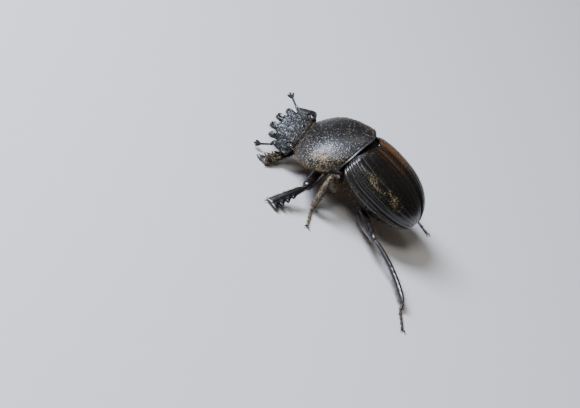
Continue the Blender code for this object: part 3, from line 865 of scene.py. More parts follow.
def piece(name: str, skins: list[Skin], finish: Finish, nodes: tuple[str, ...] = ()) -> None:
    """Makes one piece of the beetle, on the model's one body.

    Args:
        name: the piece's name.
        skins: its closed skins.
        finish: its finish.
        nodes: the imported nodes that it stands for.
    """
    skin = Skin.joined(skins)
    item = mesh_object(name, skin.points, skin.faces, finish)
    for attribute, values in (("hollow", skin.hollow), ("dust", skin.dust)):
        layer = item.data.attributes.new(attribute, "FLOAT", "POINT")
        layer.data.foreach_set("value", np.clip(values, 0.0, 1.0).astype(np.float32))
    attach(item, "root")
    if nodes:
        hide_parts(*nodes)
    LOG.info("%s: %d faces", name, len(skin.faces))


HAIR_SIDES = 3
HAIR_RINGS = 3               # rings of points below the tip
HAIR_ROOT = 0.05             # mm, how deep a hair is sunk in the shell
HAIR_SAG = 0.12              # how far its middle sinks, as a share of its length
HAIR_TAPER = 0.75            # how fast a hair thins toward its tip


@dataclass
class Coat:
    """Separate hairs rooted on a skin, gathered net by net and then made as one piece."""

    name: str
    finish: Bristle = BRISTLE
    seed: int = 1
    hairs: list[tuple[Array, ...]] = field(default_factory=list)

    def __post_init__(self) -> None:
        """Starts the coat's own random draws."""
        self.draw = np.random.default_rng(self.seed)

    @staticmethod
    def hair_faces() -> Faces:
        """The faces of one hair, a thin cone: a cap at its root, bands round it, and a fan at its tip."""
        faces: Faces = [tuple(range(HAIR_SIDES))[::-1]]
        for ring in range(HAIR_RINGS):
            for corner in range(HAIR_SIDES):
                a, b = (HAIR_SIDES * ring + (corner + step) % HAIR_SIDES for step in (0, 1))
                above = (b + HAIR_SIDES, a + HAIR_SIDES)
                faces.append((a, b, *above) if ring < HAIR_RINGS - 1 else (a, b, HAIR_SIDES * HAIR_RINGS))
        return faces

    def grow(self, roots: Array, ways: Array, length: float, radius: float, spots: Array,
             curl: float = 0.15, spread: float = 0.25) -> None:
        """Adds hairs.

        Args:
            roots: where each stands, (n, 3) in mm.
            ways: which way each points.
            length: mean length in mm.
            radius: radius at the root in mm.
            spots: each root's place on an unwrap of its skin, from 0 to 1.
            curl: how far each bows, as a share of its length.
            spread: how far each strays from its way.
        """
        count = len(roots)
        ways = unit(unit(ways) + spread * self.draw.normal(size=(count, 3)) * 0.6)
        sizes = length * self.draw.uniform(0.65, 1.15, count)[:, None]
        bows = (self.draw.normal(size=(count, 3)) * curl * 0.5 - UP * HAIR_SAG) * sizes
        self.hairs.append((roots - ways * HAIR_ROOT, roots + ways * sizes, bows,
                           np.full(count, radius), spots))

    def on_net(self, net: Net, chosen: Array, count: int, lean: Any, length: float, radius: float,
               tile: tuple[float, float, float, float] = (0, 0, 1, 1)) -> None:
        """Adds hairs at random points of a net.

        Args:
            net: the skin's net.
            chosen: how likely each point of the net is to carry a hair.
            count: how many hairs.
            lean: added to the outward direction before it is made a direction.
            length: mean length in mm.
            radius: radius at the root in mm.
            tile: the part of the unwrap that this net takes: left, bottom, width, height.
        """
        chance = np.asarray(chosen, float).ravel()
        picks = self.draw.choice(chance.size, size=count, p=chance / chance.sum())
        row, column = np.unravel_index(picks, net.spots.shape[:2])
        rows, columns = net.spots.shape[:2]
        spots = np.stack((tile[0] + tile[2] * column / columns, tile[1] + tile[3] * row / rows), axis=1)
        self.grow(net.spots[row, column], net.normals[row, column] + np.asarray(lean, float), length,
                  radius, spots)

    def make(self, slot: str = "setae") -> None:
        """Makes the hairs as one mesh piece, with an unwrap to bake their colours on.

        Args:
            slot: not used.
        """
        roots, tips, bows, radii, spots = (np.concatenate(part) for part in zip(*self.hairs))
        way = unit(tips - roots)
        aside = unit(np.cross(way, np.where(np.abs(way[:, 2:]) < 0.9, UP, np.array((1.0, 0.0, 0.0)))))
        other = np.cross(way, aside)
        count, width = len(roots), HAIR_SIDES * HAIR_RINGS + 1
        points = np.zeros((count, width, 3))
        for ring in range(HAIR_RINGS):
            share = ring / HAIR_RINGS
            middle = roots + (tips - roots) * share + bows * (4 * share * (1 - share))
            girth = (radii * (1 - HAIR_TAPER * share))[:, None]
            for corner in range(HAIR_SIDES):
                turn = math.tau * corner / HAIR_SIDES
                out = aside * math.cos(turn) + other * math.sin(turn)
                points[:, HAIR_SIDES * ring + corner] = middle + out * girth
        points[:, -1] = tips
        points[..., 2] = np.maximum(points[..., 2], 0.0)
        one = self.hair_faces()
        faces = [tuple(corner + start for corner in face) for start in range(0, count * width, width)
                 for face in one]
        item = mesh_object(self.name, points.reshape(-1, 3), faces, self.finish)
        layer = item.data.uv_layers.new(name="OFBake")
        numbers = np.zeros(len(item.data.loops), np.int32)
        item.data.loops.foreach_get("vertex_index", numbers)
        hair, part = np.divmod(numbers, width)
        on_patch = np.stack((part % HAIR_SIDES / (HAIR_SIDES - 1), part // HAIR_SIDES / HAIR_RINGS), axis=1)
        places = np.clip(spots, 0.0, 1.0 - PATCH)[hair] + PATCH * on_patch
        layer.data.foreach_set("uv", places.astype(np.float32).ravel())
        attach(item, "root")
        LOG.info("%s: %d hairs", self.name, count)


# ---- hind body
@dataclass(frozen=True)
class Vault:
    """The domed form of the hind body that the wing cases and the trunk share (mm, trunk's axes)."""

    length: float = 17.8
    half_width: float = 9.5
    height: float = 6.0
    widest: float = 0.28         # where it is widest, as a share of the length
    highest: float = 0.33

    def width_share(self, share: Array) -> Array:
        """Half the width along the form.

        Args:
            share: places, as shares of the length.

        Returns:
            The half width at each place, as a share of the widest.
        """
        behind = np.clip((share - self.widest) / (1 - self.widest), 0, None)
        back = np.clip(1 - behind ** 2.7, 0, None) ** (1 / 2.03)
        shoulder = np.clip(1 - share * self.length, 0, None)
        front = (1 - 0.09 * (1 - share / self.widest) ** 2) * (1 - 0.10 * shoulder ** 2)
        return np.where(share > self.widest, back, front)

    def height_share(self, share: Array) -> Array:
        """Height along the form.

        Args:
            share: places, as shares of the length.

        Returns:
            The height at each place, as a share of the highest.
        """
        behind = np.clip((share - self.highest) / (1 - self.highest), 0, None)
        back = np.clip(1 - behind ** 2.55, 0, None) ** (1 / 1.8)
        return np.where(share > self.highest, back, 1 - 0.16 * (1 - share / self.highest) ** 2)

    def dome(self, share: Array, turn: Array, inset: float = 0.0) -> Array:
        """Points of the domed back.

        Args:
            share: places along it, as shares of the length.
            turn: angles from the left margin through the suture, at 0, to the right margin.
            inset: how far the points lie under the surface, in mm.

        Returns:
            The points.
        """
        share, turn = np.broadcast_arrays(share, turn)
        sine, cosine = np.sin(turn), np.clip(np.cos(turn), 0, None)
        return np.stack((
            (self.length - inset) * share,
            (self.half_width - inset) * self.width_share(share) * np.sign(sine) * np.abs(sine) ** 0.92,
            (self.height - inset) * self.height_share(share) * cosine ** 0.85,
        ), axis=-1)


VAULT = Vault()


@dataclass
class WingCase:
    """One elytron: a thin hard dome with fine long grooves, a keel at its side and a rim at the suture."""

    side: Side
    rows: int = 170
    columns: int = 128
    notch: float = 1.9           # it starts this much further back at the suture, round the scutellum
    reach: float = 0.3           # its shoulder comes forward,
    turned: float = 0.42         # the right one further, where the prothorax is turned away from it
    shoulder: float = 0.35       # and its outer corner a little more
    gap: float = 0.26            # between the two wing cases
    grooves: int = 7
    groove_width: float = 0.10
    groove_depth: float = 0.032
    drop: float = 1.05           # the margin is folded down below the keel
    keel: float = 0.915          # place of the side keel, from suture 0 to margin 1
    margin_bead: float = 0.965   # place of the fine bead above the margin
    rim: float = 0.10            # height of the raised suture
    # ridges (above 0) and furrows (below 0) beside the keel: height, distance from it, width
    keel_lines: tuple[Point, ...] = ((0.17, 0.0, 0.17), (-0.13, 0.42, 0.24), (-0.05, -0.45, 0.3))
    fine_ridges: tuple[float, ...] = (0.70, 0.74, 0.78, 0.82, 0.86)
    # patches of earth: thickness, place across and half its width, place along and half its length
    earth: tuple[tuple[float, ...], ...] = ((1.2, 0.68, 0.12, 0.33, 0.2), (1.15, 0.63, 0.11, 0.53, 0.18))

    def smooth_face(self, u: Array) -> Array:
        """The outer face without its relief, on the trunk's axes.

        Args:
            u: places of the rows, from the front edge 0 to the tip 1.

        Returns:
            The points of each row, from suture to margin.
        """
        turn = np.linspace(0, math.pi / 2, self.columns)[None, :]
        sine = np.sin(turn)
        forward = self.reach + self.shoulder * sine ** 4
        if self.side is Side.RIGHT:
            forward = forward + self.turned * ramp(sine, 1.0, 0.8)
        front = (self.notch * (1 - sine) ** 1.5 - forward) / VAULT.length
        share = 1 - (1 - front) * (1 - u) ** 1.35
        spots = VAULT.dome(share, turn)
        spots[..., 2] -= self.drop * sine ** 6 * np.sin(np.clip(share / 0.35, 0, 1) * math.pi / 2)
        spots[..., 1] = self.side.value * (spots[..., 1] + self.gap / 2)
        return spots

    def net(self) -> Net:
        """Forms the outer face with its relief and its earth.

        Returns:
            The sheet net.
        """
        u = np.linspace(0, 1, self.rows)[:, None]
        net = Net(TRUNK.out(self.smooth_face(u)), ring=False)
        across = net.run(1)
        width = across[:, -1:]
        place = across / np.maximum(width, 1e-6)
        start, end = net.run(0), net.run(0)[-1:] - net.run(0)
        shagreen = GRAIN.waves(net.spots, 0.45, 2)
        grains, tag = GRAIN.pebbles(net.spots, 0.42, 0.36)
        grains = grains * (tag > 0.45)
        pits = GRAIN.pebbles(net.spots + 31.0, 0.8, 0.16)[0]
        fade = ramp(width, 1.0, 5.0) * ramp(start, 0.3, 1.2)
        pitch = 1 / (self.grooves + 1.35)
        lines = np.maximum.reduce([bell((place - (number + 0.85) * pitch) * width, 0.0, self.groove_width)
                                   for number in range(self.grooves)])
        relief = -self.groove_depth * lines * fade + 0.010 * shagreen + 0.030 * grains - 0.028 * pits
        # the interval between two grooves is very slightly arched
        relief += 0.010 * np.cos(math.tau * (place / pitch - 0.35)) * fade
        side_fade = ramp(start, 0.2, 1.0) * ramp(end, 0.5, 4.0)
        from_keel = (place - self.keel) * width
        for height, shift, breadth in self.keel_lines:
            relief += height * bell(from_keel, shift, breadth) * side_fade
        relief += 0.09 * bell((place - self.margin_bead) * width, 0.0, 0.11) * side_fade
        # finer ridges run back from the shoulder beside the keel and die out behind the middle
        for spot in self.fine_ridges:
            relief += 0.085 * bell((place - spot) * width, 0.0, 0.10) * side_fade * ramp(u, 0.7, 0.2)
        # the shoulder swells, the suture has a rim with a furrow beside it, and the front edge a bead
        relief += 0.14 * bell(place, 0.80, 0.07) * bell(start, 1.3, 1.1)
        relief += self.rim * bell(across, 0.22, 0.15) - 0.09 * bell(across, 0.55, 0.16)
        relief += 0.06 * bell(start, 0.3, 0.14)
        # every edge is rounded down
        relief -= 0.22 * ramp(across, 0.14, 0.0) + 0.10 * ramp((1 - place) * width, 0.1, 0.0)
        relief -= 0.2 * ramp(start, 0.16, 0.0) + 0.25 * ramp(end, 0.12, 0.0)
        # painted shade in the grooves and pits and a little over the whole face, less on the grains
        net.hollow = np.clip(0.45 * lines * fade + 0.5 * pits + 0.3 - 0.3 * grains - 0.25 * shagreen, 0, 1)
        # earth lies in patches, behind the front edge and in the furrows at the side
        earth = [thick * bell(place, across_at, breadth) * bell(u, along_at, length)
                 for thick, across_at, breadth, along_at, length in self.earth]
        earth += [0.45 * bell(start, 0.9, 0.9) * ramp(place, 0.1, 0.3),
                  0.8 * bell(from_keel, 0.5, 0.2) * side_fade, 0.7 * bell(place, 0.97, 0.02)]
        lying = np.maximum.reduce(earth) * (1.0 if self.side is Side.LEFT else 0.6)
        net.dust = np.clip(lying * (0.55 + 0.7 * GRAIN.waves(net.spots, 1.3, 3)) + 0.14, 0, 0.80)
        net.raise_by(relief)
        net.face_out()
        return net

    def build(self) -> None:
        """Makes the wing case, with its front edge rolled down over the collar of the thorax."""
        net = self.net()
        edge = np.minimum(net.run(1), net.run(1)[:, -1:] - net.run(1))
        thickness = 0.34 + 0.26 * ramp(edge, 0.0, 0.8) + 0.8 * ramp(net.run(0), 1.6, 0.2)
        piece(f"wing_case_{self.side.word}", [net.shell(thickness)], WING_CASE_SHELL,
              (f"elytron_{self.side.word}",))


@dataclass
class Trunk:
    """The middle and hind thorax and the abdomen, which the wing cases cover from above."""

    belly: float = 4.9
    sternites: tuple[float, ...] = (9.3, 10.6, 11.9, 13.2, 14.5, 15.7)   # mm behind the elytra's front
    inset: float = ELYTRON_THICKNESS + BODY_GAP
    neck: float = -1.9           # where the thorax begins, as for the sternites,
    waist: float = 8.2           # where it ends and the abdomen begins,
    deepest: float = 8.0         # and where the underside is lowest
    over: int = 90               # points of a section over the top,
    back: int = 110              # and back underneath

    def depth(self, x: Array) -> Array:
        """How far the underside lies below the elytra's margin.

        Args:
            x: places behind the elytra's front, in mm.

        Returns:
            The depth at each place, in mm.
        """
        front = self.belly * (0.80 + 0.20 * np.sin(np.clip(x / self.deepest, 0, 1) * math.pi / 2))
        behind = (x - self.deepest) / (VAULT.length - self.deepest - 0.6)
        back = 0.25 + (self.belly - 0.25) * np.clip(1 - behind ** 2, 0, None) ** 0.62
        return np.where(x < self.deepest, front, back)

    def rings(self, xs: Array, width: Array, roof: Array) -> Array:
        """Sections of the trunk, on its own axes.

        Args:
            xs: where the sections stand, in mm behind the elytra's front.
            width: the width at each, as a share of the form's.
            roof: the height of the top at each, the same way.

        Returns:
            The points of each section, first over the top from left to right, then back underneath.
        """
        share = np.clip(xs / (VAULT.length - self.inset), 0, 1)[:, None]
        over = np.linspace(-math.pi / 2, math.pi / 2, self.over)[None, :]
        back = np.linspace(math.pi / 2, -math.pi / 2, self.back + 2)[None, 1:-1]
        top, low = VAULT.dome(share, over, self.inset), VAULT.dome(share, back, self.inset)
        low[..., 2] = -self.depth(xs)[:, None] * np.clip(np.cos(back), 0, None) ** 0.9
        spots = np.concatenate((top, low), axis=1)
        spots[..., 0] = xs[:, None]
        spots[..., 1] *= width[:, None]
        spots[..., 2] = np.where(spots[..., 2] > 0, spots[..., 2] * roof[:, None], spots[..., 2])
        return spots

    def dressed(self, spots: Array, seams: Array, crests: Array) -> Net:
        """Gives a plate of the underside its punctured shell.

        Args:
            spots: the plate's sections.
            seams: where it has sunk seams, from 0 to 1.
            crests: how high its crests stand, in mm.

        Returns:
            The ring net.
        """
        net = Net(TRUNK.out(spots), ring=True)
        pits, tag = GRAIN.pebbles(net.spots, 0.55, 0.3)
        pits = pits * (tag > 0.3)
        # painted shade in the seams and the pits
        net.hollow = np.clip(0.9 * seams + 0.7 * pits, 0, 1)
        net.dust = np.clip(0.3 + 0.4 * GRAIN.waves(net.spots, 2.2, 3), 0, 1) * ramp(spots[..., 2], 0.5, -0.5)
        net.raise_by(crests - 0.16 * seams - 0.05 * pits + 0.02 * GRAIN.waves(net.spots, 0.8, 3))
        net.face_out()
        return net

    def build(self, coat: Coat) -> None:
        """Makes both plates with their hair."""
        self.build_thorax(coat)
        self.build_abdomen(coat)

    def build_thorax(self, coat: Coat) -> None:
        """Makes the middle and hind thorax.

        Args:
            coat: takes the hair of the breast and the flanks.
        """
        steps = np.array((self.neck, -0.9, 0.1, 1.0, 1.6))
        xs = np.linspace(self.neck, self.waist, 96)
        width = np.interp(xs, steps, (0.45, 0.78, 0.94, 0.98, 1.0))
        roof = np.interp(xs, steps, (0.40, 0.84, 1.0, 1.0, 1.0))
        spots = self.rings(xs, width, roof)
        # a narrower waist closes the slit in front of the abdomen
        waist = np.repeat(spots[-1:], 2, axis=0) * (1.0, 0.94, 0.94)
        waist[..., 0] += np.array((0.02, BODY_GAP + 0.04))[:, None]
        spots = np.concatenate((spots, waist))
        x, y, z = spots[..., 0], spots[..., 1], spots[..., 2]
        low = ramp(z, 0.0, -1.0)
        side = ramp(z, 0.4, -0.2) * ramp(z, -4.4, -3.2)
        seams = low * np.maximum.reduce((
            bell(x - 0.16 * np.abs(y) ** 1.2, 1.4, 0.16), bell(y, 0.0, 0.10) * ramp(x, 1.6, 2.2),
            side * bell(x + 0.9 * (z + 2), 4.3, 0.14), bell(x - 0.25 * np.abs(y), 7.0, 0.12)))
        crests = 0.12 * low * bell(np.abs(y), 0.55, 0.3) * ramp(x, 1.6, 2.4)
        net = self.dressed(spots, seams, crests)
        # the collar under the shield and the wing cases is bare, and painted shade makes it black
        collar = ramp(z, -0.3, 0.3) * ramp(x, 2.6, 1.8)
        net.hollow = np.maximum(net.hollow, UNDER_PLATE_SHADE * collar)
        net.dust *= 1 - collar
        piece("middle_and_hind_thorax", [net.closed()], UNDERSIDE_SHELL, ("thorax",))
        coat.on_net(net, side * ramp(x, 1.2, 2.0) + 0.02, 900, (-0.2, 0, -0.6), 0.9, 0.022, (0, 0, 0.5, 1))

    def build_abdomen(self, coat: Coat) -> None:
        """Makes the abdomen up to its last plate.

        Args:
            coat: takes the rows of hair across its plates.
        """
        start, end = self.waist + BODY_GAP, VAULT.length - self.inset
        xs = start + (end - start) * (1 - (1 - np.linspace(0, 1, 110)[:-1]) ** 1.8)
        spots = self.rings(xs, np.ones_like(xs), np.ones_like(xs))
        x, z = spots[..., 0], spots[..., 2]
        low = ramp(z, 0.2, -0.6)

        def rows(ahead: float, width: float) -> Array:
            """Lines across the underside, a little ahead of each plate's edge."""
            return low * np.maximum.reduce([bell(x, place - ahead, width) for place in self.sternites])

        net = self.dressed(spots, rows(0.0, 0.10), 0.07 * rows(0.3, 0.2))
        piece("abdomen_and_last_plate", [net.closed()], UNDERSIDE_SHELL, ("abdomen",))
        coat.on_net(net, rows(0.15, 0.15), 500, (0.9, 0, -0.3), 0.55, 0.02, (0.5, 0, 0.5, 1))


# ---- prothorax
@dataclass
class Prothorax:
    """The broad domed shield with its grained back, beaded rim and toothed side margin."""

    length: float = 11.0
    half_width: float = 9.75
    height: float = 4.7
    breast: float = 3.3
    widest: float = 0.48         # where it is widest, from front edge 0 to base 1
    highest: float = 0.6
    base_reach: float = 1.85
    base_corner: float = 1.4
    base_point: float = 0.85     # the middle of the base juts back toward the wing cases
    granule: float = 0.41        # mm between grains; drawn a little coarse so that they show
    granule_height: float = 0.085
    side_pit: tuple[float, float] = (0.56, 0.83)    # place of the sunk spot near each side
    tooth: float = 0.24          # height of the small teeth along the side margin
    tooth_pitch: float = 0.52
    rows: int = 150
    over: int = 300              # points of a row over the top,
    back: int = 108              # and back underneath
    # how the hidden rims of neck and collar narrow inward: scale, depth in mm
    rim: tuple[tuple[float, float], ...] = ((0.965, 0.12), (0.93, 0.45), (0.84, 0.9))
    neck: float = 2.4            # depth of the front opening,
    collar: float = 1.5          # and of the one behind

    def spots(self, u: Array, v: Array, under: bool) -> Array:
        """Points of the smooth form on the prothorax's own axes.

        Args:
            u: places from the front edge 0 to the base 1.
            v: places from left -1 to right 1.
            under: True for the breast, False for the shield.

        Returns:
            The points.
        """
        u, v = np.broadcast_arrays(u, v)
        wide = np.abs(v)
        front = -self.length + 0.4 - wide ** 2
        base = (self.base_reach * (1 - v ** 2) - self.base_corner * wide ** 7
                + self.base_point * bell(v, 0.0, 0.40))
        if under:
            depth = self.breast * (0.7 + 0.3 * np.sin(math.pi * u))
            lift = -depth * np.clip(1 - wide ** 2.4, 0, None) ** 0.7
        else:
            arch = swelling(u, self.highest, 0.54, 0.90)
            lift = self.height * arch * np.clip(1 - wide ** 2.1, 0, None) ** 0.62
        width = self.half_width * swelling(u, self.widest, 0.62, 0.85)
        return np.stack((front * (1 - u) + base * u, width * v, lift - 0.3 * (1 - u) ** 2), axis=-1)

    def net(self) -> Net:
        """Forms the whole ring net, over the top and back underneath, with its relief, painted shade and
        earth.

        Returns:
            The ring net.
        """
        u = np.linspace(0, 1, self.rows)[:, None]
        turn = np.linspace(-math.pi / 2, math.pi / 2, self.over)[None, :]
        back = np.linspace(math.pi / 2, -math.pi / 2, self.back + 2)[None, 1:-1]
        rows = self.spots(u, np.sin(turn), under=False), self.spots(u, np.sin(back), under=True)
        spots = np.concatenate(rows, axis=1)
        net = Net(PROTHORAX.out(spots), ring=True)
        top = np.zeros(spots.shape[:2])
        top[:, :self.over] = 1.0
        v = np.concatenate((np.sin(turn), np.sin(back)), axis=1) + 0 * u
        start = net.run(0)
        end = start[-1:] - start
        steps = np.linalg.norm(np.diff(spots[:, :self.over], axis=1), axis=-1)
        across = np.concatenate((np.zeros((self.rows, 1)), np.cumsum(steps, axis=1)), axis=1)
        edge = np.full(spots.shape[:2], 9.0)
        edge[:, :self.over] = np.minimum(across, across[:, -1:] - across)
        # grains stand dense in front and at the sides, and thin out toward the middle of the base
        grains, tag = GRAIN.pebbles(net.spots, self.granule, 0.40)
        dense = 0.55 + 0.45 * ramp(np.abs(v), 0.2, 0.6) * ramp(u, 1.1, 0.4)
        grains = grains * (tag < dense) * (0.6 + 0.6 * tag)
        small = GRAIN.pebbles(net.spots + 17.0, 0.30, 0.4)[0]
        line = bell(spots[..., 1], 0.0, 0.16) * ramp(u, 0.25, 0.5)
        inside = ramp(np.minimum(edge, np.minimum(start, end)), 0.25, 0.7)
        relief = top * inside * (self.granule_height * grains + 0.024 * small) * (1 - 0.8 * line)
        relief -= top * 0.03 * line
        for side in Side:
            pit = np.hypot((u - self.side_pit[0]) * self.length,
                           (v - side.value * self.side_pit[1]) * self.half_width)
            relief -= top * 0.11 * bell(pit, 0.0, 0.5)
        bead = bell(end, 0.20, 0.15) + bell(start, 0.18, 0.13)
        relief += top * (0.05 * np.clip(bead, 0, 1) - 0.07 * bell(end, 0.55, 0.16))
        relief += 0.02 * GRAIN.waves(net.spots, 1.1, 3) * (1 - bell(edge, 0, 0.2))
        # painted shade between the grains and on the breast; the base rim is painted black and dull
        net.hollow = np.clip(0.55 - 0.9 * grains - 0.25 * small, 0, 1) * top + 0.35 * (1 - top)
        net.hollow = np.maximum(net.hollow, UNDER_PLATE_SHADE * top * bell(end, 0.0, 0.40))
        # dry earth low on the left side, and a thin film all over
        side_earth = bell(u, 0.56, 0.26) * bell(v, -0.90, 0.13)
        film = 0.20 + 0.10 * ramp(v, -0.2, -0.8) + 0.14 * ramp(v, 0.2, 0.8) + 0.15 * bell(end, 0.5, 0.3)
        clots = 0.72 + 0.9 * GRAIN.waves(net.spots, 0.9, 2)
        net.dust = top * np.clip(film + 0.7 * side_earth * clots, 0, 1) + 0.3 * (1 - top)
        net.raise_by(relief)
        # small teeth along the side margin, from the front corner to behind the widest place
        walk = np.cumsum(np.append(0.0, np.linalg.norm(np.diff(spots[:, 0], axis=0), axis=-1)))[:, None]
        valley = np.abs((walk / self.tooth_pitch) % 1.0 - 0.5) * 2
        edge[:, self.over:] = (1 - np.abs(np.sin(back))) * self.half_width
        push = self.tooth * (1 - valley) * bell(edge, 0.0, 0.22) * ramp(u, 0.86, 0.7) * ramp(u, 0.02, 0.08)
        net.spots = net.spots + PROTHORAX.way((0.0, 1.0, 0.0)) * (np.sign(v) * push)[..., None]
        return net

    def rim_rows(self, edge: Array, forward: float, depth: float) -> Array:
        """Rows that close one opening of the prothorax, narrowing inward from its edge.

        Args:
            edge: the row at the opening's edge.
            forward: 1 when inward is toward the tail, -1 when it is toward the head.
            depth: how deep the last row lies, in mm.

        Returns:
            The rows, from the edge inward.
        """
        core = edge.mean(axis=0)
        into = PROTHORAX.way((forward, 0.0, 0.0))
        return np.stack([core + (edge - core) * scale + into * sink
                         for scale, sink in (*self.rim, (0.72, depth))])

    def build(self, coat: Coat) -> None:
        """Makes the prothorax, closed in front and behind by the sunk rims of neck and collar.

        Args:
            coat: takes the bristles of its side margins, of the breast and of the front edge.
        """
        net = self.net()
        front, base = self.rim_rows(net.spots[0], 1, self.neck), self.rim_rows(net.spots[-1], -1, self.collar)
        whole = Net(np.concatenate((front[::-1], net.spots, base)), ring=True)
        middle = slice(len(front), -len(base))
        # the sunk rims of neck and collar get painted shade
        whole.hollow[:], whole.dust[:] = 0.9, 0.15
        whole.hollow[middle], whole.dust[middle] = net.hollow, net.dust
        piece("pronotum_and_breast", [whole.closed()], PRONOTUM_SHELL, ("prothorax",))
        margin, below, front_edge = np.zeros((3, *net.spots.shape[:2]))
        margin[6:-26, :5] = 1.0
        margin[6:-26, self.over - 5:self.over] = 1.0
        coat.on_net(net, margin, 420, PROTHORAX.way((-0.5, 0.0, -0.6)), 0.62, 0.022, (0, 0, 1, 0.3))
        below[:, self.over + 8:-8] = 1.0
        coat.on_net(net, below, 700, (-0.3, 0.0, -0.4), 0.7, 0.02, (0, 0.3, 1, 0.4))
        front_edge[:3, 20:self.over - 20] = 1.0
        coat.on_net(net, front_edge, 260, PROTHORAX.way((-1.6, 0.0, 0.1)), 0.45, 0.018, (0, 0.7, 1, 0.3))


# ---- head
@dataclass
class Head:
    """The flat, grained digging shield: four teeth in front, and one at the corner of each broad cheek."""

    outline: tuple[tuple[float, float], ...] = (
        (2.0, 0.0), (1.7, 2.1), (0.4, 3.2), (0.0, 4.4), (-0.85, 6.5), (-2.9, 5.9), (-4.8, 5.3),
        (-4.85, 4.8), (-4.15, 4.15), (-4.35, 3.9), (-5.8, 4.15), (-6.4, 3.75), (-6.35, 3.0), (-5.55, 2.4),
        (-5.4, 2.15), (-5.7, 2.05), (-6.8, 2.05), (-7.35, 1.6), (-7.35, 0.75), (-6.7, 0.42), (-5.65, 0.15),
        (-5.5, 0.0))
    rim: float = 0.27            # half the thickness of the edge
    rounding: float = 0.34       # how far in from the edge it is rounded
    dome: float = 1.25
    depth: float = 2.0
    spacing: float = 0.095
    granule: float = 0.46        # mm between its coarse grains
    granule_height: float = 0.13
    centre: float = -2.9         # where the dome is highest
    eye: Point = (-0.7, 4.2, 0.3)
    eye_size: Point = (0.9, 0.5, 0.68)

    def reach(self, x: Array, y: Array) -> Array:
        """How far out a point lies on the dome: 0 in the middle, 1 at the foot of the teeth."""
        ahead = x - self.centre
        return np.hypot(np.where(ahead < 0, ahead / 3.6, ahead / 4.4), y / 6.1)

    def seams(self, x: Array, y: Array) -> Array:
        """The sunk line that parts cheek from brow, from 0 to 1."""
        return bell(np.abs(y) - 4.0 + 0.28 * (x + 4.3), 0.0, 0.16) * ramp(x, -4.7, -4.2) * ramp(x, -1.2, -1.9)

    def top(self, x: Array, y: Array, gap: Array) -> Array:
        """Forms the upper face: dome, upturned teeth, cheeks, brow ridge, nape and eye sockets.

        Args:
            x: places on the head's own axes.
            y: the same.
            gap: distance from the shield's edge.

        Returns:
            The height at each place.
        """
        rear, side = np.clip((x + 7) / 6, 0, 1), np.abs(y)
        swell = self.dome * (0.45 + 0.55 * rear) * np.clip(1 - self.reach(x, y) ** 2.2, 0, None) ** 0.9
        height = self.rim * round_edge(gap, self.rounding) + swell * ramp(gap, 0, 1.1)
        height += 0.34 * ramp(x, -3.9, -5.4) * ramp(gap, 1.3, 0.25) * ramp(gap, 0.0, 0.3)
        height += 0.16 * ramp(side, 3.9, 4.9) * ramp(gap, 0.2, 1.0)
        height += 0.09 * bell(x - 0.055 * y ** 2, -2.5, 0.28) * ramp(side, 3.4, 2.6)
        height += 0.12 * bell(x + 0.02 * y ** 2, -0.15, 0.22) * ramp(side, 5.6, 4.4)
        eye = np.hypot((x - self.eye[0]) / self.eye_size[0], (side - self.eye[1]) / self.eye_size[1])
        return height - 0.13 * self.seams(x, y) - 0.24 * bell(eye, 1.18, 0.20) * ramp(gap, 0, 0.5)

    def under(self, x: Array, y: Array, gap: Array) -> Array:
        """Forms the lower face.

        Args:
            x: places on the head's own axes.
            y: the same.
            gap: distance from the shield's edge.

        Returns:
            The height at each place, below 0.
        """
        rear = np.clip((x + 7) / 6, 0, 1)
        bulge = (0.12 + 0.88 * rear ** 1.5) * np.clip(1 - self.reach(x, y) ** 2, 0, None) ** 0.6
        return -self.rim * round_edge(gap, self.rounding) - self.depth * bulge * ramp(gap, 0.0, 1.1)

    def dressed(self) -> tuple[Skin, Array]:
        """Cuts the shield and gives it its relief.

        Returns:
            The skin on the floor's axes, and its smooth points on the head's own axes.
        """
        half = np.array(self.outline)
        left = half[-2:0:-1] * (1, -1)
        skin, gap = cut_plate(rounded(np.concatenate((half, left))), self.spacing, self.top, self.under)
        own = skin.points.copy()
        x, y, z = own.T
        upper = ramp(z, -0.05, 0.05)
        rough = upper * ramp(x + 0.02 * y ** 2, 0.3, -0.3) * ramp(gap, 0.05, 0.35)
        wear_and_painted_light = ramp(x + 0.10 * y ** 2, -5.0, -5.9)
        grains, tag = GRAIN.pebbles(own, self.granule, 0.44)
        grains = grains * (0.35 + 0.85 * tag) * (1 - 0.85 * wear_and_painted_light)
        creases = np.clip(0.3 - np.abs(GRAIN.waves(own * (0.6, 1.0, 1.0), 0.75, 3)), 0, 1)
        normals = point_normals(own, skin.faces)
        relief = rough * (self.granule_height * grains - 0.22 * creases + 0.02)
        relief += 0.03 * GRAIN.waves(own, 0.5, 3) * (1 - rough) * ramp(gap, 0, 0.3)
        skin.points = HEAD.out(own + normals * relief[:, None])
        # painted shade in the creases, along the seam and on the underside, less on the grains
        skin.hollow = np.clip(rough * (0.65 - 0.9 * grains + 1.3 * creases)
                              + 0.5 * self.seams(x, y) + 0.4 * (1 - upper), 0, 1)
        # the teeth are worn smooth in digging, and painted shade makes them black
        skin.hollow = np.maximum(skin.hollow * (1 - wear_and_painted_light), 0.5 * upper * wear_and_painted_light)
        # its back lies under the prothorax, in painted shade: bare, black and dull
        skin.hollow = np.maximum(skin.hollow, 0.97 * upper * ramp(x + 0.02 * y ** 2, -1.0, -0.4))
        skin.dust = np.clip(0.10 + 0.25 * GRAIN.waves(own, 1.3, 2), 0, 1) * ramp(gap, 0.0, 0.5)
        return skin, own

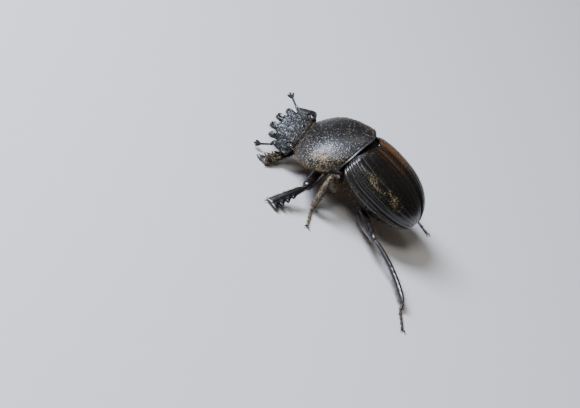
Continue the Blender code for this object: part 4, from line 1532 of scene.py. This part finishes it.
    def build(self, coat: Coat) -> None:
        """Makes the head, its eyes and mouthparts, and the fringe under the shield.

        Args:
            coat: takes the fringe and the hair of the mouth.
        """
        skin, own = self.dressed()
        piece("head_shield", [skin], HEAD_SHELL, ("head",))
        for side in Side:
            self.build_eye(side)
        root = own[coat.draw.choice(np.flatnonzero(np.abs(own[:, 2]) < 1e-6), 420)]
        out = unit((root - (self.centre, 0, 0)) * (1, 1, 0))
        coat.grow(HEAD.out(root - out * 0.12 - (0, 0, 0.08)), HEAD.way((out * 0.8 + (-0.25, 0, -0.7)).T).T,
                  0.55, 0.022, (root[:, :2] + (8, 7)) / 16)
        self.build_mouth(coat)

    def build_eye(self, side: Side) -> None:
        """Makes one compound eye.

        Args:
            side: the side it is on.
        """
        turns = around(40)
        tilt = np.linspace(-0.49, 0.49, 30)[:, None] * math.pi
        ball = np.stack((np.cos(tilt) * np.cos(turns), np.cos(tilt) * np.sin(turns),
                         np.sin(tilt) + 0 * turns), axis=-1)
        spots = ball * (np.array(self.eye_size) - 0.02) + np.array(self.eye) * (1, side.value, 1)
        piece(f"compound_eye_{side.word}", [Net(HEAD.out(spots), ring=True).closed()], EYE,
              (f"eye_{side.word}",))

    def build_mouth(self, coat: Coat) -> None:
        """Makes the lower lip and the two jointed palps under the head.

        Args:
            coat: takes the hair of the lip.
        """
        sides, share = 36, eased_shares(26)
        path = np.array((-1.2, 0.0, -2.5)) + np.outer(share, (-3.1, 0.0, 1.0))
        full = blunt(share, 9, 0.02)
        net = tube(HEAD.out(path), (1.5 - 0.5 * share) * full, 0.55 * full, HEAD.way((0.0, 1.0, 0.0)), sides)
        net.raise_by(0.04 * GRAIN.waves(net.spots, 0.4, 3))
        skins = [net.closed()]
        chosen = ramp(np.sin(around(sides)), -2, 2) + 0 * net.hollow
        coat.on_net(net, chosen, 260, HEAD.way((-0.8, 0, -0.4)), 0.6, 0.02)
        for side in Side:
            joints = [np.array(spot) * (1, side.value, 1) for spot in
                      ((-3.2, 0.7, -2.05), (-3.75, 1.25, -2.1), (-4.25, 1.8, -1.95), (-4.75, 2.35, -1.7))]
            for near, far, size in zip(joints, joints[1:], (0.26, 0.29, 0.24)):
                share = np.linspace(0, 1, 9)
                path = HEAD.out(near + np.outer(share, far - near))
                girth = size * np.maximum(np.sin(math.pi * (0.12 + 0.8 * share)), 0.3)
                skins.append(tube(path, girth, girth, UP, 14).closed())
        piece("lower_lip_and_palps", skins, UNDERSIDE_SHELL, ("mouthparts",))


@dataclass
class Feeler:
    """One antenna: a long first joint, small joints after it, and a club of three leaves (head's axes)."""

    side: Side
    root: Point
    bend: Point
    club: Point
    tip: Point
    stops: tuple[float, ...] = (0.0, 0.27, 0.5, 0.74, 1.0)    # where the small joints meet, as shares
    # each leaf: how far it spreads aside and how long it is, both as shares
    leaves: tuple[tuple[float, float], ...] = ((-0.58, 0.86), (0.02, 1.0), (0.62, 0.9))

    def joint(self, near: Array, far: Array, thin: float, thick: float, bow: float = 0.0) -> Skin:
        """One joint that widens toward its far end.

        Args:
            near: its inner end.
            far: its outer end.
            thin: radius at the inner end.
            thick: radius at the outer end.
            bow: how far its middle is raised.

        Returns:
            The closed skin on the floor's axes.
        """
        share = np.linspace(0, 1, 16)
        girth = (thin + (thick - thin) * share ** 1.5) * blunt(share, 10, 0.08)
        net = tube(HEAD.out(bowed(near, far, share, UP * bow)), girth, girth * 0.94, HEAD.way(UP), 20)
        net.raise_by(0.008 * GRAIN.waves(net.spots, 0.2, 2))
        net.dust[:] = 0.2
        return net.closed()

    def build(self, coat: Coat) -> None:
        """Makes the stalk and the club.

        Args:
            coat: takes the club's down.
        """
        root, bend, club, tip = (np.array(spot) for spot in (self.root, self.bend, self.club, self.tip))
        skins = [self.joint(root, bend, 0.27, 0.33, 0.12)]
        end = club + unit(tip - club) * 0.4
        places = [bend + (end - bend) * share for share in self.stops]
        for index, (near, far) in enumerate(zip(places, places[1:])):
            overlap = (far - near) * 0.06
            skins.append(self.joint(near - overlap, far + overlap, 0.19, 0.26 + 0.015 * index))
        word = self.side.word
        piece(f"feeler_stalk_{word}", skins, FEELER_SHELL, (f"antenna_{word}",))
        along = unit(tip - club)
        aside = unit(np.cross(along, UP))
        start = club + along * 0.42
        share = np.linspace(0, 1, 22)
        full = blunt(share, 6, 0.03)
        wide = (0.18 + 0.20 * np.sin(math.pi * share) ** 0.8 * (0.5 + 0.5 * share)) * full
        skins = []
        for index, (spread, reach) in enumerate(self.leaves):
            way = unit(along + aside * spread)
            path = start - way * 0.15 + np.outer(share, way) * (np.linalg.norm(tip - start) * reach)
            path += np.outer(np.sin(math.pi * share) * 0.10 * (index - 1), aside)
            net = tube(HEAD.out(path), wide, 0.20 * full, HEAD.way(UP), 26)
            skins.append(net.closed())
            coat.on_net(net, np.ones(net.hollow.shape), 150, HEAD.way(way) * 0.8, 0.09, 0.010,
                        (0.33 * index, 0, 0.33, 1))
        piece(f"feeler_club_{word}", skins, CLUB_SHELL, (f"antenna_club_{word}",))


# ---- legs
@dataclass(frozen=True)
class LegPlan:
    """The shared sizes of one pair of legs (mm); hip points are on the axes of the plate that carries it."""

    pair: Pair
    hip_start: Point
    hip_end: Point
    coxa: float                              # radius
    femur: tuple[float, float]               # half width and half depth
    tibia: tuple[float, float] = (0.0, 0.0)  # half width at the knee and at the ankle


PLANS = {
    Pair.FRONT: LegPlan(Pair.FRONT, (-5.0, 2.7, -1.9), (-6.4, 3.5, -4.7), 1.6, (1.75, 1.15)),
    Pair.MIDDLE: LegPlan(Pair.MIDDLE, (2.7, 3.2, -3.0), (2.3, 4.3, -5.5), 1.35, (1.45, 0.85), (0.52, 1.05)),
    Pair.HIND: LegPlan(Pair.HIND, (7.4, 2.2, -3.4), (8.1, 4.0, -5.7), 1.4, (1.4, 0.8), (0.48, 0.82)),
}
# teeth on the digging shin's outer edge: places as shares of its length, and how far the large ones stand out
SMALL_TEETH = (0.13, 0.19, 0.25, 0.31)
LARGE_TEETH = ((0.40, 0.65), (0.58, 0.95), (0.76, 1.15), (0.95, 1.2))


@dataclass
class Leg:
    """One leg from hip to claws, each segment a piece of its own."""

    plan: LegPlan
    side: Side
    knee: Point
    ankle: Point
    toe: Point | None = None
    bow: Point = (0.0, 0.0, 0.2)
    dusty: float = 0.3

    @property
    def name(self) -> str:
        """The pair and the side, with a place for the segment's name."""
        return f"{self.plan.pair.value}_{{}}_{self.side.word}"

    def part(self, word: str, skins: list[Skin], finish: Finish, slot: str, node: str = "") -> None:
        """Makes one piece of this leg, named by its word; node is the word of the node it stands for."""
        piece(self.name.format(word), skins, finish, (self.name.format(node),) if node else ())

    def segment(self, near: Array, far: Array, profile: Callable[..., tuple[Any, Any]],
                wide_way: Any, bow: Any = (0.0, 0.0, 0.0), rings: int = 60, sides: int = 36) -> Net:
        """A leg segment with round ends.

        Args:
            near: its inner end.
            far: its outer end.
            profile: half width and half depth for the share of its length.
            wide_way: the direction of its width.
            bow: how far its middle is bowed.
            rings: points along.
            sides: points around.

        Returns:
            Its ring net.
        """
        share = eased_shares(rings)
        full = blunt(share, 9, 0.012)
        half_width, half_depth = profile(share)
        return tube(bowed(near, far, share, bow), half_width * full, half_depth * full, wide_way, sides)

    def shelled(self, net: Net, pits: float = 0.035, keels: Array | float = 0.0) -> None:
        """Gives a segment's net its sparse bristle pits, its keels and its dust.

        Args:
            net: the net.
            pits: depth of the pits in mm.
            keels: height of the keels at each point.
        """
        spot, tag = GRAIN.pebbles(net.spots, 0.6, 0.2)
        spot = spot * (tag > 0.35)
        net.raise_by(keels - pits * spot + 0.012 * GRAIN.waves(net.spots, 0.7, 3))
        # painted shade in the pits
        net.hollow = spot * 0.8
        net.dust = np.clip(self.dusty + 0.35 * GRAIN.waves(net.spots, 1.5, 3), 0, 1)
        net.face_out()

    def build(self) -> None:
        """Makes the leg from hip to claws, with its bristles."""
        carrier = PROTHORAX if self.plan.pair is Pair.FRONT else TRUNK
        start, hip = (carrier.out(np.array(spot) * (1, self.side.value, 1))
                      for spot in (self.plan.hip_start, self.plan.hip_end))
        knee, ankle = FLOOR.out(self.knee), FLOOR.out(self.ankle)
        coat = Coat(self.name.format("bristles"), seed=7 + len(self.name))
        self.build_hip(start, hip)
        self.build_thigh(hip, knee, coat)
        if self.toe is None:
            self.build_digging_shin(knee, ankle, coat)
        else:
            self.build_shin(knee, ankle, coat)
            self.build_foot(ankle, FLOOR.out(self.toe), coat)
        coat.make()

    def build_hip(self, start: Array, hip: Array) -> None:
        """Makes the short stout coxa.

        Args:
            start: its inner end.
            hip: its outer end.
        """
        net = self.segment(start, hip, lambda share: (self.plan.coxa * (1.08 - 0.2 * share),
                                                      self.plan.coxa * (0.98 - 0.2 * share)),
                           (1, 0, 0), rings=40)
        self.shelled(net, 0.05)
        net.dust *= 0.5
        self.part("hip", [net.closed()], UNDERSIDE_SHELL, "underside", "coxa")

    def build_thigh(self, hip: Array, knee: Array, coat: Coat) -> None:
        """Makes the femur: broad, flattened, with a sharp hind edge and a row of long bristles.

        Args:
            hip: its inner end.
            knee: its outer end.
            coat: takes its bristles.
        """
        half_width, half_depth = self.plan.femur
        rings, sides = 70, 44

        def profile(share: Array) -> tuple[Array, Array]:
            """Half width and half depth at each share of the length."""
            swell = 0.62 + 0.38 * np.sin(math.pi * np.minimum(0.18 + share, 1.0))
            return half_width * swell, half_depth * (0.75 + 0.25 * swell)

        net = self.segment(hip, knee, profile, UP, rings=rings, sides=sides)
        edge = np.abs(np.cos(around(sides))) ** 24
        self.shelled(net, keels=0.05 * edge)
        self.part("thigh", [net.closed()], LEG_SHELL, "leg_shell", "femur")
        share = np.linspace(0, 1, rings)[:, None]
        chosen = (edge + 0.03) * ramp(share, 0.2, 0.35) * ramp(share, 0.97, 0.9)
        coat.on_net(net, chosen, 170, unit(knee - hip) * 0.7, 0.75, 0.024, (0, 0, 1, 0.3))

    def build_shin(self, knee: Array, ankle: Array, coat: Coat) -> None:
        """Makes a middle or hind tibia: curved, keeled, with spines and a fringe.

        Args:
            knee: its inner end.
            ankle: its outer end.
            coat: takes its fringe.
        """
        thin, broad = self.plan.tibia
        rings, sides = 110, 40

        def profile(share: Array) -> tuple[Array, Array]:
            """Half width and half depth at each share of the length."""
            widening = (broad - thin) * share ** 1.6
            return thin + widening, thin * 0.95 + widening * 0.35

        net = self.segment(knee, ankle, profile, UP, self.bow, rings, sides)
        turns, share = around(sides), eased_shares(rings)[:, None]
        keels = 0.055 * np.clip(np.cos(4 * turns), 0, 1) ** 3
        keels = keels * ramp(share, 0.04, 0.15) * ramp(share, 1.0, 0.93)
        notches = 0.05 * bell((share * 11) % 1.0, 0.5, 0.16) * np.clip(np.cos(turns - 0.3), 0, 1) ** 6
        self.shelled(net, keels=keels - notches)
        along = unit(ankle - knee)
        self.part("shin", [net.closed(), *self.spines(net, along)], LEG_SHELL, "leg_shell", "tibia")
        fringe = np.clip(np.cos(turns - math.pi), 0, 1) ** 6 + 0.5 * np.clip(np.cos(turns), 0, 1) ** 8
        coat.on_net(net, fringe * ramp(share, 0.12, 0.25), 320, along * 0.9, 0.8, 0.022, (0, 0.3, 1, 0.4))

    def spines(self, net: Net, along: Array) -> list[Skin]:
        """Forms a shin's short spines, in three rows and round its end, and its long spur.

        Args:
            net: the shin's net.
            along: the direction from knee to ankle.

        Returns:
            Their skins.
        """
        skins = []
        for row, (column, size) in enumerate(((2, 0.50), (12, 0.34), (31, 0.34))):
            for index in range(9):
                ring = int((0.18 + 0.085 * index + 0.02 * row) * len(net.spots))
                root, out = net.spots[ring, column], net.normals[ring, column]
                tip = root + unit(out + along * 1.3) * size
                skins.append(spike(root - out * 0.05, tip, 0.075, sides=6, rings=5))
        last = net.spots[-5]
        middle = last.mean(axis=0)
        for root in last[::4]:
            out = unit(root - middle)
            skins.append(spike(root - out * 0.08, root + along * 0.34 + out * 0.16, 0.07, sides=6, rings=5))
        inner = last[len(last) // 2]
        spur, way = inner * 0.6 + middle * 0.4, unit(inner - middle)
        skins.append(spike(spur, spur + along * 1.15 + way * 0.32 + UP * 0.1, 0.13, way * 0.06))
        return skins

    def build_foot(self, ankle: Array, toe: Array, coat: Coat) -> None:
        """Makes a foot of five joints, flat on the floor, with two claws.

        Args:
            ankle: its inner end.
            toe: its outer end.
            coat: takes the bristles at the joints' ends.
        """
        joints, steps = 5, 12        # steps along each joint
        down = 0.3                   # share of the foot that comes down from the ankle to the floor
        landing = np.array((*(ankle[:2] + (toe[:2] - ankle[:2]) * 0.22), toe[2]))
        t = np.linspace(0, 1, joints * steps + 1)
        sunk = np.clip(t / down, 0, 1)
        bend = ankle + np.outer(sunk, landing - ankle)
        bend[:, 2] = toe[2] + (ankle[2] - toe[2]) * (1 - sunk) ** 1.7
        flat = landing + np.outer(np.clip((t - down) / (1 - down), 0, 1), toe - landing)
        path = np.where((t < down)[:, None], bend, flat)
        share = np.linspace(0, 1, 2 * steps + 1)
        skins = []
        for joint in range(joints):
            part = path[joint * steps:(joint + 1) * steps + 1]
            line = np.stack([np.interp(share, np.linspace(0, 1, steps + 1), part[:, axis])
                             for axis in range(3)], axis=1)
            girth = (0.34 - 0.08 * (joint + share) / joints) * (0.74 + 0.34 * share ** 1.4)
            girth *= blunt(share, 12, 0.10)
            depth = np.minimum(girth, line[:, 2]) if joint else girth
            net = tube(line, np.maximum(girth, 0.1), np.maximum(depth, 0.1), UP, 20)
            net.spots[..., 2] = np.maximum(net.spots[..., 2], 0.0)
            net.dust[:] = self.dusty + 0.25
            skins.append(net.closed())
            chosen = np.zeros(net.hollow.shape)
            chosen[steps:] = net.normals[steps:, :, 2] > -0.6
            coat.on_net(net, chosen, 26, unit(line[-1] - line[0]) * 1.3 + UP * 0.1, 0.42, 0.02,
                        (0.2 * joint, 0.7, 0.2, 0.15))
        way = unit((toe - ankle) * (1, 1, 0))
        aside = np.array((-way[1], way[0], 0.0))
        claws = [spike(toe - way * 0.12 + aside * 0.06 * spread,
                       toe + way * 0.93 + aside * (0.55 * spread) + UP * (0.06 - toe[2]), 0.15,
                       aside * (0.12 * spread) + UP * 0.22, 10, 10) for spread in (-1, 1)]
        self.part("foot", skins, FOOT_SHELL, "foot", "tarsus")
        self.part("claws", claws, LEG_SHELL, "foot")

    @staticmethod
    def blade_half_width(share: Any) -> Any:
        """Half the width of the digging shin's blade without its teeth, at a share of its length."""
        return 0.55 + 0.65 * share ** 0.8

    def blade_outline(self) -> Array:
        """Draws the digging shin's blade: four strong teeth outside, and small ones between them.

        Returns:
            The outline's corners, each as a share of the length along the shin and mm across it.
        """
        outer: list[tuple[float, float]] = []
        for place in SMALL_TEETH:
            edge = self.blade_half_width(place)
            outer += [(place - 0.02, edge - 0.04), (place + 0.012, edge + 0.22), (place + 0.022, edge)]
        for place, reach in LARGE_TEETH:
            edge = self.blade_half_width(place)
            outer += [(place - 0.085, edge), (place - 0.02, edge + reach * 0.42),
                      (place + 0.025, edge + reach * 0.70), (place + 0.052, edge + reach * 0.64),
                      (place + 0.058, edge + reach * 0.25), (place + 0.066, edge - 0.05)]
            if (place, reach) != LARGE_TEETH[-1]:
                outer += [(place + 0.085, edge + 0.16), (place + 0.094, edge - 0.04)]
        inner = [(share, -self.blade_half_width(share)) for share in (0.97, 0.85, 0.7, 0.55, 0.4, 0.2)]
        return np.array([(0.03, -0.40), (0.03, 0.40), *outer, (1.0, 0.15), (1.0, -0.75), *inner])

    def build_digging_shin(self, knee: Array, toe: Array, coat: Coat) -> None:
        """Makes a front tibia: a flat toothed blade with a spur and a fringe inside.

        Args:
            knee: its inner end.
            toe: its outer end, beside the last tooth.
            coat: takes its fringe.
        """
        length = float(np.linalg.norm(toe - knee))
        along = unit(toe - knee)
        # the toothed edge is the outer one: behind on a leg held out sideways, in front on one held across
        outward = self.side.value * np.array((along[1], -along[0], 0.0))
        across = unit(outward - along * (along @ outward))
        normal = np.cross(along, across)

        def swell(x: Array, y: Array, gap: Array) -> Array:
            """Half the blade's thickness: a ridge runs down its middle, and nothing changes along x."""
            return 0.40 * round_edge(gap, 0.62) + 0.11 * bell(y, 0.0, 0.2) * ramp(gap, 0.2, 0.6)

        skin, gap = cut_plate(rounded(self.blade_outline() * (length, 1.0), 2, 0.2), 0.10, swell,
                              lambda x, y, gap: -swell(x, y, gap))
        own = skin.points
        pits, tag = GRAIN.pebbles(own, 0.5, 0.24)
        pits = pits * (tag > 0.3) * ramp(gap, 0.1, 0.4)
        own[:, 2] -= np.sign(own[:, 2]) * 0.05 * pits
        skin.points = knee + own[:, :1] * along + own[:, 1:2] * across + own[:, 2:] * normal
        skin.points[:, 2] = np.maximum(skin.points[:, 2], 0.0)
        # painted shade in the pits
        skin.hollow = pits
        skin.dust = np.clip(self.dusty + 0.3 * GRAIN.waves(own, 1.2, 3), 0, 1)
        root = knee + along * (length * 0.97) - across * 0.75
        spur = spike(root, root + along * 1.0 - across * 0.45, 0.16, -across * 0.08)
        spur.points[:, 2] = np.maximum(spur.points[:, 2], 0.02)
        # its rounded head sits in the socket at the end of the thigh
        head = self.segment(knee - along * 0.25, knee + along * 0.9,
                            lambda share: (0.50 + 0 * share, 0.44 + 0 * share), across, rings=20, sides=24)
        self.part("shin", [skin, spur, head.closed()], LEG_SHELL, "leg_shell", "tibia")
        count = 150
        share = coat.draw.uniform(0.12, 0.95, count)
        roots = knee + np.outer(share * length, along) - np.outer(self.blade_half_width(share) - 0.05, across)
        coat.grow(roots, np.tile(along * 0.8 - across * 0.8, (count, 1)), 0.7, 0.024,
                  np.stack((share, 0.5 + 0.2 * coat.draw.random(count)), axis=1))


LEGS = (
    Leg(PLANS[Pair.FRONT], Side.LEFT, (-3.6, -12.6, 3.7), (-6.6, -20.9, 0.42), dusty=0.22),
    Leg(PLANS[Pair.FRONT], Side.RIGHT, (-10.2, 1.0, 2.6), (-13.75, -8.9, 0.40), dusty=0.8),
    Leg(PLANS[Pair.MIDDLE], Side.LEFT, (-1.0, -10.6, 7.4), (-0.2, -11.8, 1.2), (1.5, -18.4, 0.27), dusty=1.0),
    Leg(PLANS[Pair.MIDDLE], Side.RIGHT, (-1.4, 10.9, 7.4), (-1.2, 12.6, 1.2), (0.6, 19.2, 0.27), dusty=0.4),
    Leg(PLANS[Pair.HIND], Side.LEFT, (13.3, -13.1, 4.2), (25.1, -21.0, 1.3), (28.0, -27.2, 0.27),
        (0.0, 1.3, 0.25), dusty=0.45),
    Leg(PLANS[Pair.HIND], Side.RIGHT, (2.9, 12.5, 6.2), (13.7, 15.9, 1.3), (20.2, 11.8, 0.27),
        (0.0, 0.9, 0.3), dusty=0.2),
)
FEELERS = (
    Feeler(Side.LEFT, (-3.2, -3.8, -0.75), (-5.0, -5.5, -0.4), (-6.1, -6.35, -0.3), (-7.9, -7.0, -0.25)),
    Feeler(Side.RIGHT, (-3.2, 3.9, -0.75), (-5.6, 5.85, -0.4), (-6.6, 6.7, -0.3), (-8.25, 7.85, -0.2)),
)


# ---- studio
@dataclass(frozen=True)
class Lamp:
    """One soft studio lamp, aimed at the middle of the beetle (metres, watts)."""

    name: str
    place: Point
    size: float
    power: float
    colour: str = "#ffffff"

    def build(self) -> None:
        """Makes the lamp."""
        light = bpy.data.lights.new(self.name, "AREA")
        light.shape = "DISK"
        light.size = self.size
        light.energy = self.power
        light.color = linear(self.colour)[:3]
        lamp = add_to_scene(self.name, light)
        lamp.location = self.place
        lamp.rotation_euler = (-Vector(self.place)).to_track_quat("-Z", "Y").to_euler()


@dataclass(frozen=True)
class Studio:
    """Pale paper floor, four soft lamps, an even pale surround, and the camera."""

    floor_size: float = 1.6
    surround: float = 0.10
    surround_colour: str = "#f2f1ee"
    lens: float = 120.0          # mm, for a sensor as wide as the next line says
    sensor: float = 36.0
    nearest: float = 0.01        # where the camera begins to see
    camera_place: Point = (0.017645, -0.342349, 0.172796)
    camera_turn: Point = (57.173, -31.675, 23.262)
    lamps: tuple[Lamp, ...] = (
        Lamp("key", (-0.445, -0.090, 0.395), 0.30, 8.6, "#e0eaff"),
        Lamp("fill", (-0.170, -0.350, 0.46), 0.22, 1.3),
        Lamp("top", (-0.224, 0.249, 0.497), 0.14, 0.2),
        Lamp("back", (0.0, 0.564, 0.205), 0.20, 0.11, "#ffb066"),
    )

    def build(self) -> None:
        """Makes the floor, the lamps, the surround and the camera."""
        corners = np.array(((-1, -1, 0), (1, -1, 0), (1, 1, 0), (-1, 1, 0))) * (self.floor_size / MM / 2)
        floor = mesh_object("studio_floor", corners, [(0, 1, 2, 3)], PAPER)
        for lamp in self.lamps:
            lamp.build()
        world = bpy.data.worlds.new("studio_surround")
        bpy.context.scene.world = world
        world.use_nodes = True
        background = world.node_tree.nodes["Background"]
        background.inputs["Color"].default_value = linear(self.surround_colour)
        background.inputs["Strength"].default_value = self.surround
        lens = bpy.data.cameras.new("camera")
        lens.lens = self.lens
        lens.sensor_width = self.sensor
        lens.clip_start = self.nearest
        camera = add_to_scene("camera", lens)
        camera.location = self.camera_place
        camera.rotation_euler = [math.radians(angle) for angle in self.camera_turn]
        bpy.context.scene.camera = camera


def main() -> None:
    """Builds the studio and then the beetle, from the hind body to the head and the legs."""
    logging.basicConfig(level=logging.INFO, format="%(name)s: %(message)s")
    Studio().build()
    for side in Side:
        WingCase(side).build()
    for parts, coat, slot in (
            ((Trunk(),), Coat("trunk_bristles", seed=3), "setae"),
            ((Prothorax(),), Coat("margin_bristles", PALE_BRISTLE, seed=4), "setae"),
            ((Head(),), Coat("head_bristles", seed=5), "setae"),
            (FEELERS, Coat("club_down", DOWN, seed=6), "antenna_club")):
        for part in parts:
            part.build(coat)
        coat.make(slot)
    for leg in LEGS:
        leg.build()


if __name__ == "__main__":
    main()
